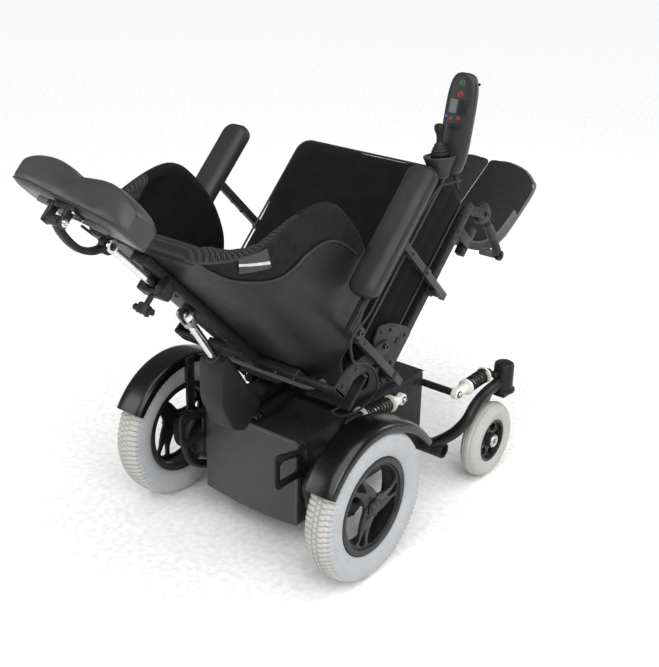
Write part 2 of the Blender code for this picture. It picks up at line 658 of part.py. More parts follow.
def armrest(side, s):
    """A flip-back arm: pad, link bar, and the front post that drops into the rail's clip."""
    arm = Body("armrest_" + side, seat, s * 258, -43, 262)
    link = sorted((s * 250, s * 266))
    post = sorted((s * 233, s * 247))
    piece("armrest_" + side, arm, SATIN, shape(
        [box(link, (-56, 302), (284, PAD_LOW - GAP), 2), box(link, (-58, -28), (246, 288), 3),
         box(post, (172, 190), (-10, PAD_LOW - 4), 2),
         box(sorted((s * 236, s * 258)), (174, 188), (286, PAD_LOW - 2))]))
    half, front, rear, corner = 34, 325, 16, 22
    outline = []
    for cx, cf, start in ((1, 1, 0), (-1, 1, 90), (-1, -1, 180), (1, -1, 270)):
        mid = (s * PAD_X + cx * (half - corner), front - corner if cf > 0 else rear + corner)
        outline += arc(mid, corner, start, start + 90, 4)
    middle = (front + rear) / 2
    rings = []
    for up, inset in ((PAD_LOW, 3), (PAD_LOW + 6, 0), (PAD_TOP - 12, 0), (PAD_TOP - 3, 5),
                      (PAD_TOP, 13)):
        rings.append([chair(s * PAD_X + (x - s * PAD_X) * (1 - inset / half),
                            middle + (f - middle) * (1 - inset / 157), up) for x, f in outline])
    piece("arm_pad_" + side, arm, PLASTIC, shape([skin_rings(rings, close=False)]))
    return arm


armrest("left", 1)
right_arm = armrest("right", -1)

# ---- joystick ----------------------------------------------------------------------------------

POD_X, POD_FOOT = -283.0, (346.0, 262.0)     # the pod's lower end, middle of its thickness
POD_LONG = 210.0
STICK = (14.0, 36.0, 28.0)                   # rim of the joystick's cup: across, along, out
LEAN = (0.12, 0.97, 0.206)                   # the joystick's axis, in the same directions


def on_pod(x, along, out):
    a = math.radians(POD_PITCH)
    return (POD_X + x, POD_FOOT[0] + along * math.cos(a) - out * math.sin(a),
            POD_FOOT[1] + along * math.sin(a) + out * math.cos(a))


def pod_loft(levels):
    """A rounded slab along the pod: levels of (out, half width at foot, at head, inset)."""
    rings = []
    for out, foot, head, inset in levels:
        ring = []
        for k in range(20):
            a = 2 * math.pi * k / 20
            c, t = math.cos(a), math.sin(a)
            along = POD_LONG / 2 + (POD_LONG / 2 - inset) * math.copysign(abs(c) ** 0.5, c)
            width = foot + (head - foot) * along / POD_LONG - inset
            ring.append(chair(*on_pod(width * math.copysign(abs(t) ** 0.62, t), along, out)))
        rings.append(ring)
    return skin_rings(rings, close=False)


def pod_rod(x, along, low, high, r, n=16, r_end=None):
    return rod(on_pod(x, along, low), on_pod(x, along, high), r, n, r_end)


def on_stick(t):
    return on_pod(*(c + t * d for c, d in zip(STICK, LEAN)))


WELL = 32.0
KEYS = [("power_key", 0, 188, 8), ("horn_key", 0, 165, 8), ("mode_key", -4, 116, 5),
        ("profile_key", 14, 114, 5)]
piece("joystick_pod", right_arm, PLASTIC, shape(
    [pod_loft([(-13, 27, 28, 7), (-9, 32, 32, 2), (5, 33, 34, 0), (13, 32, 33, 2),
               (16, 27, 29, 7)]),
     rod(on_stick(-46), on_stick(0), 12, 24, 36),
     rod((-259, 310, 287), (-276, 356, 268), 8, 12)],
    [rod(on_stick(-12), on_stick(96), WELL, 24)]
    + [pod_rod(x, along, 11, 30, r + 0.5, 14) for _, x, along, r in KEYS]))
centre = on_stick(-3)
gimbal = Body("joystick_gimbal", right_arm, *centre)
a = math.radians(POD_PITCH)
out_axis = (LEAN[0], LEAN[1] * math.cos(a) - LEAN[2] * math.sin(a),
            LEAN[1] * math.sin(a) + LEAN[2] * math.cos(a))
piece("joystick_gimbal", gimbal, STEEL, turned(
    [(22, -2), (26.5, -2), (26.5, 2), (22, 2)], centre, out_axis, 16))
stick = Body("joystick", gimbal, *centre)
piece("joystick", stick, PLASTIC, turned(
    [(0.5, -6), (7, -6), (18, 5), (20, 11), (15, 15), (11, 28), (6, 33), (5, 44), (8.5, 58),
     (8, 66), (0.5, 70.5)], centre, out_axis, 16))
for name, x, along, r in KEYS:
    key = Body(name, right_arm, *on_pod(x, along, 14))
    piece(name, key, PLASTIC, shape([pod_rod(x, along, 13, 17, r, 14)]))

# ---- legrests ----------------------------------------------------------------------------------

HEEL = (416.0, -253.0)
FOOT_PITCH = 12.5


def on_tread(x, along, out):
    a = math.radians(-FOOT_PITCH)
    return chair(x, HEEL[0] + along * math.cos(a) - out * math.sin(a),
                 HEEL[1] + along * math.sin(a) + out * math.cos(a))


def legrest(side, s):
    """An elevating shin tube and a flip-up footplate with a raised heel rim."""
    knee = Body("legrest_" + side, seat, s * 195, *KNEE)
    route = [(s * 186, 436, -78), (s * 184, 442, -120), (s * 183, 432, -190), (s * 182, 424, -240)]
    ankle = (422, -262)
    piece("legrest_" + side, knee, SATIN, shape(
        [plate(bar_outline(KNEE, (440, -86), 26, 14)[::-1], *sorted((s * 188, s * 205.5))),
         bent_tube(route, 11, 10, 3),
         rod((s * 176, *ankle), (s * 188, *ankle), 13, 14),
         box(sorted((s * 176, s * 188)), (414, 432), (-262, -236))]))
    foot = Body("footplate_" + side, knee, s * 170, *ankle)
    plan = [(s * 6, 0), (s * 6, 284), (s * 26, 296), (s * 60, 299), (s * 110, 286),
            (s * 148, 258), (s * 168, 222), (s * 171, 90), (s * 166, 44), (s * 150, 14),
            (s * 120, 0)]
    rim = [(s * 7, 1), (s * 7, 7), (s * 118, 7), (s * 144, 20), (s * 159, 48), (s * 164, 132),
           (s * 170, 132), (s * 170, 90), (s * 165, 45), (s * 149, 15), (s * 119.5, 1)]
    if s > 0:
        plan, rim = plan[::-1], rim[::-1]

    def tread(outline, low, high):
        return skin_rings([[on_tread(x, f, t) for x, f in outline] for t in (low, high)],
                          close=False)

    piece("footplate_" + side, foot, BLACK, shape(
        [tread(plan, 0, 9), tread(rim, 7, 30),
         rod((s * 128, *ankle), (s * 175.7, *ankle), 10, 12)]))


legrest("left", 1)
legrest("right", -1)

# ---- joystick cable ----------------------------------------------------------------------------

CABLE_R = 2.6
CABLE = [(-296, 352, 236), (-298, 330, 262), (-290, 300, 286), (-286, 240, 292),
         (-286, 140, 292), (-284, 50, 291), (-279, -8, 284), (-273, -66, 290), (-270, -92, 258),
         (-256, -92, 212), (-246, -70, 156), (-238, -66, 100), (-226, -74, 52), (-208, -92, 14),
         (-188, -136, 8), (-170, -168, 30), (-158, -172, 56), (-152, -161, 40), (-150, -152, 27)]


def cable():
    """The joystick's lead, from the pod under the arm pad and down to the seat's underside."""
    curve = bpy.data.curves.new("joystick_cable", 'CURVE')
    curve.dimensions = '3D'
    spline = curve.splines.new('POLY')
    points = smooth_path(CABLE, 2)
    spline.points.add(len(points) - 1)
    for spot, p in zip(spline.points, points):
        spot.co = (*chair(*p), 1.0)
    curve.bevel_depth = CABLE_R * MM
    curve.bevel_resolution = 2
    curve.use_fill_caps = True
    obj = bpy.data.objects.new("joystick_cable", curve)
    material = bpy.data.materials.new("joystick_cable")
    material.use_nodes = True
    curve.materials.append(material)
    bpy.context.scene.collection.objects.link(obj)
    obj.parent = seat.empty


cable()
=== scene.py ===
"""Looks for the power wheelchair: tyres, upholstery, hardware, materials, light and camera.

Places are in millimetres as (x, forward, up), from the drive axle on the base and from the tilt
pivot on the seat, and the frame's joints say where those are.
"""
import json
import math
import random

import bmesh
import bpy
from mathutils import Matrix, Vector


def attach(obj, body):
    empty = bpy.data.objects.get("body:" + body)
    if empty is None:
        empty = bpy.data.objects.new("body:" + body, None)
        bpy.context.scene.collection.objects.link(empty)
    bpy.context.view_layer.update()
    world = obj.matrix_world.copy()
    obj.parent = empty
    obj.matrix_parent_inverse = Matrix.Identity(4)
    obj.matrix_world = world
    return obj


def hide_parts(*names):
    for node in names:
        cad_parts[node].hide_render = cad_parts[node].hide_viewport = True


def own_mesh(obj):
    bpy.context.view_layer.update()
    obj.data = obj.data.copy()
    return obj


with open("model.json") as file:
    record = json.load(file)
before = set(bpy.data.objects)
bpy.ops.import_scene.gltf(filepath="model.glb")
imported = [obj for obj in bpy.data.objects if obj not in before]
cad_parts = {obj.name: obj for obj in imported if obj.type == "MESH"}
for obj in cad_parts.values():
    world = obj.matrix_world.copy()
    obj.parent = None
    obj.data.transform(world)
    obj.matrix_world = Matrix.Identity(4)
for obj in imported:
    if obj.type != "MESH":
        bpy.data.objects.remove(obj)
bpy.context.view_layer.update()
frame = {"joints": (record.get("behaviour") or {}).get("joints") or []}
JOINTS = {j["name"]: j for j in frame["joints"]}
MM = 0.001
AXLE_Y = JOINTS["drive_wheel_right_spin"]["pos_m"][1]
PIVOT = Vector(JOINTS["seat_tilt"]["pos_m"])
HALF_ROOT = math.sqrt(0.5)
SEAT_FWD = Vector((0, -HALF_ROOT, HALF_ROOT))
SEAT_UP = Vector((0, HALF_ROOT, HALF_ROOT))
RIGHT_LEFT = (("right", -1), ("left", 1))
X, UP = Vector((1, 0, 0)), (0, 0, 1)

# The frame's joints, as (forward, up) in a side view: first on the base, then on the seat.
CROSS_SHAFT, DRIVE_PIN = (453.3, 78), (250, 125)
REAR_EYE, REAR_TIP = (306, 268), (126, 289)
FRONT_EYE, FRONT_TIP = (431, 259), (578, 263)
TILT_PIVOT, RAM_FOOT = (200, 420), (405, 312)
RECLINE_HINGE, RECLINE_FOOT, RECLINE_PIN = (-5, 100), (-246, 98), (-178, 453)
KNEE, ANKLE, ARM_HINGE = (432, -66), (422, -262), (-43, 262)
HEAD_JOINT, HEAD_PIN = (-173, 724), (-200, 856)


def base(x, fwd, up):
    """A place on the base, from the floor under the drive axle."""
    return Vector((x * MM, AXLE_Y - fwd * MM, up * MM))


def seat(x, fwd, up):
    """A place on the seat, from the tilt pivot, along and square to its cushion."""
    return Vector((x * MM, PIVOT.y, PIVOT.z)) + (SEAT_FWD * fwd + SEAT_UP * up) * MM


# ---- camera ------------------------------------------------------------------------------------

def make_camera():
    """The photo's camera, from its bearing, height and roll about the chair."""
    azimuth, elevation, roll = (math.radians(a) for a in (217.53, 23.6, 1.43))
    back = Vector((math.sin(azimuth) * math.cos(elevation),
                   -math.cos(azimuth) * math.cos(elevation), math.sin(elevation)))
    right = Vector((math.cos(azimuth), math.sin(azimuth), 0))
    up = back.cross(right)
    right, up = (math.cos(roll) * right + math.sin(roll) * up,
                 math.cos(roll) * up - math.sin(roll) * right)
    camera = bpy.data.objects.new("camera", bpy.data.cameras.new("camera"))
    bpy.context.scene.collection.objects.link(camera)
    camera.data.sensor_width = 36
    camera.data.lens = 62.33
    camera.data.clip_end = 50
    spot = Vector((-1.5178, 1.7468 + AXLE_Y, 1.5053))
    camera.matrix_world = Matrix.Translation(spot) @ Matrix((right, up, back)).transposed().to_4x4()
    bpy.context.scene.camera = camera


# ---- materials ---------------------------------------------------------------------------------

class Shader:
    """A Principled material that is built up a layer at a time."""

    def __init__(self, name, colour, rough, metal=0.0, space="Object"):
        self.material = bpy.data.materials.new(name)
        self.material.use_nodes = True
        self.tree = self.material.node_tree
        self.bsdf = self.tree.nodes["Principled BSDF"]
        self.bsdf.inputs["Base Color"].default_value = (*colour, 1)
        self.bsdf.inputs["Roughness"].default_value = rough
        self.bsdf.inputs["Metallic"].default_value = metal
        self.material.diffuse_color = (*colour, 1)
        self.colour, self.rough = colour, rough
        self.coords = self.node("ShaderNodeTexCoord").outputs[space]
        self.last_colour = self.last_normal = None

    def node(self, kind, **values):
        node = self.tree.nodes.new(kind)
        for key, value in values.items():
            if hasattr(node, key):
                setattr(node, key, value)
            else:
                node.inputs[key.replace("_", " ").title()].default_value = value
        return node

    def link(self, a, b):
        self.tree.links.new(a, b)

    def set(self, **values):
        for key, value in values.items():
            self.bsdf.inputs[key.replace("_", " ").title().replace("Ior", "IOR")].default_value = value
        return self

    def math(self, operation, a, b=0.0):
        node = self.node("ShaderNodeMath", operation=operation)
        for socket, value in zip(node.inputs, (a, b)):
            if isinstance(value, (int, float)):
                socket.default_value = value
            else:
                self.link(value, socket)
        return node.outputs[0]

    def scaled(self, scale):
        node = self.node("ShaderNodeMapping")
        node.inputs["Scale"].default_value = scale if hasattr(scale, "__len__") else (scale,) * 3
        self.link(self.coords, node.inputs["Vector"])
        return node.outputs[0]

    def noise(self, scale, detail=3.0, rough=0.55, stretch=(1, 1, 1)):
        node = self.node("ShaderNodeTexNoise")
        node.inputs["Scale"].default_value = 1.0
        node.inputs["Detail"].default_value = detail
        node.inputs["Roughness"].default_value = rough
        self.link(self.scaled(tuple(scale * k for k in stretch)), node.inputs["Vector"])
        return node.outputs["Fac"]

    def cells(self, scale, feature="F1", stretch=(1, 1, 1)):
        node = self.node("ShaderNodeTexVoronoi", feature=feature)
        node.inputs["Scale"].default_value = 1.0
        self.link(self.scaled(tuple(scale * k for k in stretch)), node.inputs["Vector"])
        return node.outputs["Distance"]

    def axis(self, index, scale):
        split = self.node("ShaderNodeSeparateXYZ")
        self.link(self.scaled(scale), split.inputs[0])
        return split.outputs[index]

    def ramp(self, value, low, high, to_low=0.0, to_high=1.0):
        node = self.node("ShaderNodeMapRange")
        self.link(value, node.inputs["Value"])
        for key, number in (("From Min", low), ("From Max", high), ("To Min", to_low),
                            ("To Max", to_high)):
            node.inputs[key].default_value = number
        return node.outputs["Result"]

    def tint(self, factor, colour):
        """Mixes a colour over the surface where factor is high."""
        mix = self.node("ShaderNodeMix", data_type="RGBA")
        self.link(factor, mix.inputs[0])
        if self.last_colour is None:
            mix.inputs[6].default_value = (*self.colour, 1)
        else:
            self.link(self.last_colour, mix.inputs[6])
        mix.inputs[7].default_value = (*colour, 1)
        self.last_colour = mix.outputs[2]
        self.link(self.last_colour, self.bsdf.inputs["Base Color"])
        return self

    def polish(self, factor, low, high):
        self.link(self.ramp(factor, 0.3, 0.7, low, high), self.bsdf.inputs["Roughness"])
        return self

    def bump(self, height, distance, strength=1.0):
        """Adds relief of that depth in millimetres."""
        node = self.node("ShaderNodeBump")
        node.inputs["Distance"].default_value = distance * MM
        node.inputs["Strength"].default_value = strength
        self.link(height, node.inputs["Height"])
        if self.last_normal is not None:
            self.link(self.last_normal, node.inputs["Normal"])
        self.last_normal = node.outputs[0]
        self.link(self.last_normal, self.bsdf.inputs["Normal"])
        return self

    def worn(self, colour, amount=0.5):
        """Lighter paint along edges, where it rubs."""
        geometry = self.node("ShaderNodeNewGeometry")
        edge = self.ramp(geometry.outputs["Pointiness"], 0.53, 0.6)
        broken = self.ramp(self.noise(140), 0.45, 0.62)
        self.tint(self.math("MULTIPLY", self.math("MULTIPLY", edge, broken), amount), colour)
        return self


def powder_coat(name, level=0.016, rough=0.42):
    s = Shader(name, (level, level, level * 1.05), rough)
    s.tint(s.ramp(s.noise(14), 0.35, 0.75), (level * 1.4, level * 1.4, level * 1.45))
    s.polish(s.noise(60), rough - 0.08, rough + 0.1)
    s.bump(s.noise(1500, 2), 0.05, 0.5)
    return s.set(specular_ior_level=0.28).worn((0.07, 0.07, 0.07), 0.4).material


def plastic(name, level=0.03, rough=0.5, grain=0.07):
    s = Shader(name, (level, level, level * 1.05), rough)
    s.tint(s.ramp(s.noise(9), 0.35, 0.75), (level * 1.5, level * 1.5, level * 1.55))
    s.polish(s.noise(35), rough - 0.06, rough + 0.08)
    s.bump(s.cells(900), grain, 0.6)
    return s.set(specular_ior_level=0.26).worn((0.06, 0.06, 0.06), 0.3).material


def metal(name, colour=(0.62, 0.61, 0.6), rough=0.22, brushed=(1, 1, 1)):
    s = Shader(name, colour, rough, 1.0)
    s.polish(s.noise(240, 4, 0.6, brushed), rough * 0.6, rough * 1.7)
    s.tint(s.ramp(s.noise(50), 0.5, 0.8), tuple(c * 0.75 for c in colour))
    return s.bump(s.noise(900, 2, 0.5, brushed), 0.015, 0.5).material


def hide(name, level, rough=0.42, grain=0.16, scale=620, crease=0.9):
    """Upholstery vinyl or moulded foam skin: pebble grain, soft creases, rubbed high spots."""
    s = Shader(name, (level, level, level * 1.03), rough)
    s.tint(s.ramp(s.noise(11, 4), 0.35, 0.75), (level * 1.4, level * 1.4, level * 1.45))
    s.polish(s.noise(26, 4), rough - 0.07, rough + 0.1)
    s.bump(s.noise(34, 5, 0.6), crease, 0.35)
    s.bump(s.cells(scale, "SMOOTH_F1"), grain, 0.55)
    return s.set(specular_ior_level=0.32).worn((level * 3,) * 3, 0.25).material


def cloth(name, level, period=1.3, rough=0.92):
    """Woven cloth: two sets of threads in the surface's own directions."""
    s = Shader(name, (level, level, level * 1.02), rough, space="UV")
    turns = 2 * math.pi / period
    warp = s.math("SINE", s.axis(0, turns))
    weft = s.math("SINE", s.axis(1, turns))
    thread = s.math("MULTIPLY", warp, weft)
    s.tint(s.ramp(thread, -1, 1), (level * 1.7, level * 1.7, level * 1.75))
    s.tint(s.ramp(s.noise(0.03, 4), 0.45, 0.8, 0, 0.6), (level * 2, level * 2, level * 2.05))
    s.bump(thread, 0.12, 0.6)
    s.bump(s.noise(0.05, 5), 1.0, 0.3)
    return s.set(sheen_weight=0.02, sheen_roughness=0.5, specular_ior_level=0.1).material


def spacer_mesh(name, level=0.012, period=5.2):
    """Knitted spacer mesh: rows of holes painted near black as the shade inside them, with threads between
    them that carry patches of painted sheen.
    """
    # the base colour stays in the holes: painted shade inside them
    s = Shader(name, (level * 0.25, level * 0.25, level * 0.25), 0.8, space="UV")
    turns = 2 * math.pi / period
    rows = s.math("ABSOLUTE", s.math("SINE", s.axis(0, turns / 2)))
    lines = s.math("ABSOLUTE", s.math("SINE", s.axis(1, turns / 2)))
    hole = s.math("MULTIPLY", rows, lines)
    thread = s.ramp(hole, 0.42, 0.62, 1, 0)
    s.tint(thread, (level * 2.2, level * 2.2, level * 2.2))
    # noise patches on the threads: a painted sheen
    s.tint(s.math("MULTIPLY", thread, s.ramp(s.noise(0.9, 3), 0.5, 0.7)), (level * 4.5,) * 3)
    s.bump(s.ramp(hole, 0.3, 0.75, 1, 0), 1.0, 0.8)
    return s.set(sheen_weight=0.03, sheen_roughness=0.4, specular_ior_level=0.25).material


def knit(name, level=0.004):
    """Stretch lining: a fine knit that shows as a soft black."""
    s = Shader(name, (level, level, level * 1.02), 0.95, space="UV")
    s.tint(s.ramp(s.noise(0.02, 4), 0.4, 0.8), (level * 1.9, level * 1.9, level * 2))
    fine = s.math("SINE", s.math("ADD", s.axis(0, 4.2), s.math("SINE", s.axis(1, 5.5))))
    s.bump(fine, 0.1, 0.5)
    return s.set(sheen_weight=0.02, sheen_roughness=0.6, specular_ior_level=0.08).material


def tyre_rubber(name, colour, dirt, rough=0.62):
    s = Shader(name, colour, rough)
    s.tint(s.ramp(s.noise(22, 5, 0.65), 0.42, 0.72), tuple(c * 0.87 for c in colour))
    s.tint(s.ramp(s.noise(380, 3), 0.6, 0.72, 0, 0.5), dirt)
    mixed = tuple(0.5 * a + 0.5 * b for a, b in zip(colour, dirt))
    s.tint(s.ramp(s.noise(7, 3), 0.5, 0.8, 0, 0.45), mixed)
    s.polish(s.noise(90), rough - 0.1, rough + 0.12)
    return s.bump(s.noise(700, 4), 0.12, 0.5).material


def gloss(name, level=0.004):
    s = Shader(name, (level,) * 3, 0.24)
    s.polish(s.noise(18, 4), 0.2, 0.3)
    s.bump(s.noise(260, 2), 0.02, 0.4)
    return s.set(specular_ior_level=0.42).worn((0.03, 0.03, 0.03), 0.2).material


def panel_weave(name, level=0.026):
    """Charcoal laminate with a fine diagonal weave."""
    s = Shader(name, (level, level * 1.03, level * 1.05), 0.5)
    slant = s.math("ADD", s.axis(0, 900), s.axis(2, 900))
    other = s.math("SUBTRACT", s.axis(0, 900), s.axis(2, 900))
    weave = s.math("MULTIPLY", s.math("SINE", slant), s.math("SINE", other))
    s.tint(s.ramp(weave, -0.2, 0.6, 0, 0.5), (level * 1.5,) * 3)
    s.tint(s.ramp(s.noise(6), 0.35, 0.8), (level * 1.35,) * 3)
    s.polish(s.noise(30), 0.42, 0.56)
    return s.bump(weave, 0.08, 0.6).material


def glow_screen(name):
    s = Shader(name, (0.012, 0.016, 0.018), 0.12)
    s.tint(s.ramp(s.noise(40), 0.5, 0.8), (0.02, 0.028, 0.03))
    return s.bump(s.noise(300), 0.01, 0.3).material


def flat_finish(name, colour, rough=0.45):
    s = Shader(name, colour, rough)
    s.tint(s.ramp(s.noise(60), 0.4, 0.8), tuple(min(1, c * 0.8) for c in colour))
    return s.bump(s.noise(900), 0.03, 0.4).material


BLACK = powder_coat("black_powder_coat", 0.006)
FRAME = powder_coat("frame_powder_coat", 0.007, 0.46)
HINGE_GREY = powder_coat("hinge_powder_coat", 0.016, 0.5)
POST = powder_coat("post_anodised", 0.02, 0.4)
RIM = powder_coat("rim_powder_coat", 0.008, 0.34)
FENDER = gloss("fender_gloss", 0.003)
PLASTIC = plastic("moulded_plastic", 0.010)
SOFT_PLASTIC = plastic("actuator_plastic", 0.016, 0.52, 0.1)
POD = plastic("pod_plastic", 0.02, 0.36, 0.04)
BELLOWS = plastic("bellows_rubber", 0.012, 0.55, 0.04)
STEEL = metal("bright_steel", (0.4, 0.4, 0.39), 0.3)
DARK_BOLT = metal("black_zinc", (0.07, 0.07, 0.072), 0.34)
CHROME = metal("chrome", (0.72, 0.72, 0.72), 0.1)
ALLOY = metal("alloy", (0.55, 0.54, 0.52), 0.32)
SPRING = powder_coat("spring_black", 0.012, 0.25)
CREAM = flat_finish("damper_enamel", (0.72, 0.7, 0.64), 0.28)
VINYL = hide("shell_vinyl", 0.008, 0.44, 0.1, 800, 0.5)
LEATHER = hide("headrest_leather", 0.032, 0.36, 0.16, 700, 1.2)
ARM_SKIN = hide("arm_pad_skin", 0.015, 0.45, 0.08, 900, 0.2)
NYLON = cloth("nylon_panel", 0.007, 0.9, 0.5)
SEAT_CLOTH = cloth("seat_cloth", 0.004, 1.4)
MESH = spacer_mesh("spacer_mesh")
KNIT = knit("lining_knit")
SIDEWALL = tyre_rubber("drive_sidewall", (0.37, 0.38, 0.39), (0.31, 0.31, 0.3))
TREAD = tyre_rubber("drive_tread", (0.45, 0.445, 0.43), (0.33, 0.32, 0.29))
CASTER_RUBBER = tyre_rubber("caster_rubber", (0.4, 0.4, 0.38), (0.3, 0.29, 0.27), 0.7)
PANEL = panel_weave("panel_weave")
SCREEN = glow_screen("screen")
GREY_RIM = plastic("footplate_rim", 0.09, 0.5)
GRIP = plastic("footplate_grip", 0.006, 0.6, 0.3)
# darker rubber for the tread's grooves: painted shade inside the grooves, with dirt patches over it
GROOVE_SHADE = tyre_rubber("tread_groove_shade", (0.3, 0.29, 0.27), (0.2, 0.19, 0.17))
TAG = flat_finish("tag_grey", (0.03, 0.03, 0.032), 0.6)
TAG_WHITE = flat_finish("tag_white", (0.55, 0.55, 0.54), 0.6)
GREEN = flat_finish("key_green", (0.02, 0.07, 0.035), 0.4)
RED = flat_finish("key_red", (0.16, 0.012, 0.014), 0.4)
BLUE = flat_finish("lamp_blue", (0.02, 0.12, 0.45), 0.3)
BLACK_PIPE = hide("piping", 0.02, 0.4, 0.06, 900, 0.3)
WEAVE = flat_finish("weave_dash", (0.2, 0.205, 0.21), 0.5)


# ---- shapes ------------------------------------------------------------------------------------

def spline(points, steps, closed=False):
    """Catmull-Rom through the points, which may be vectors or tuples of any length."""
    points = [Vector(p) for p in points]
    n = len(points)
    out = []
    spans = n if closed else n - 1
    for i in range(spans):
        def at(k):
            return points[k % n] if closed else points[max(0, min(n - 1, k))]
        a, b, c, d = at(i - 1), at(i), at(i + 1), at(i + 2)
        for step in range(steps):
            t = step / steps
            out.append(0.5 * ((2 * b) + (c - a) * t + (2 * a - 5 * b + 4 * c - d) * t ** 2
                              + (3 * b - a - 3 * c + d) * t ** 3))
    if not closed:
        out.append(points[-1])
    return out


def flat(points, steps, closed=False):
    """A spline as plain pairs."""
    return [(p.x, p.y) for p in spline(points, steps, closed)]


def arc_points(cx, cy, r, start, end, n):
    return [(cx + r * math.cos(math.radians(start + (end - start) * i / n)),
             cy + r * math.sin(math.radians(start + (end - start) * i / n))) for i in range(n + 1)]


def link_outline(a, b, ra, rb, n=12):
    """The outline of a bar with round ends."""
    (ax, ay), (bx, by) = a, b
    way = math.degrees(math.atan2(by - ay, bx - ax))
    lean = math.degrees(math.asin(max(-1, min(1, (ra - rb) / math.dist(a, b)))))
    return (arc_points(bx, by, rb, way - 90 + lean, way + 90 - lean, n)
            + arc_points(ax, ay, ra, way + 90 - lean, way + 270 + lean, n))


def rounded(points, r, n=4):
    """Rounds the corners of a closed outline."""
    out = []
    for i, p in enumerate(points):
        here = Vector(p)
        before, after = Vector(points[i - 1]), Vector(points[(i + 1) % len(points)])
        cut = min(r, 0.45 * (before - here).length, 0.45 * (after - here).length)
        a = here + (before - here).normalized() * cut
        b = here + (after - here).normalized() * cut
        for k in range(n + 1):
            t = k / n
            q = a * (1 - t) ** 2 + here * 2 * t * (1 - t) + b * t ** 2
            out.append((q.x, q.y))
    return out


def power(value, exponent):
    """A signed power, which squares off a sine."""
    return math.copysign(abs(value) ** exponent, value)


def smoothstep(low, high, x):
    t = max(0.0, min(1.0, (x - low) / (high - low)))
    return t * t * (3 - 2 * t)


def two(s, a, b):
    """Both ends across the chair, lowest first, on the side of the sign s."""
    return sorted((s * a, s * b))


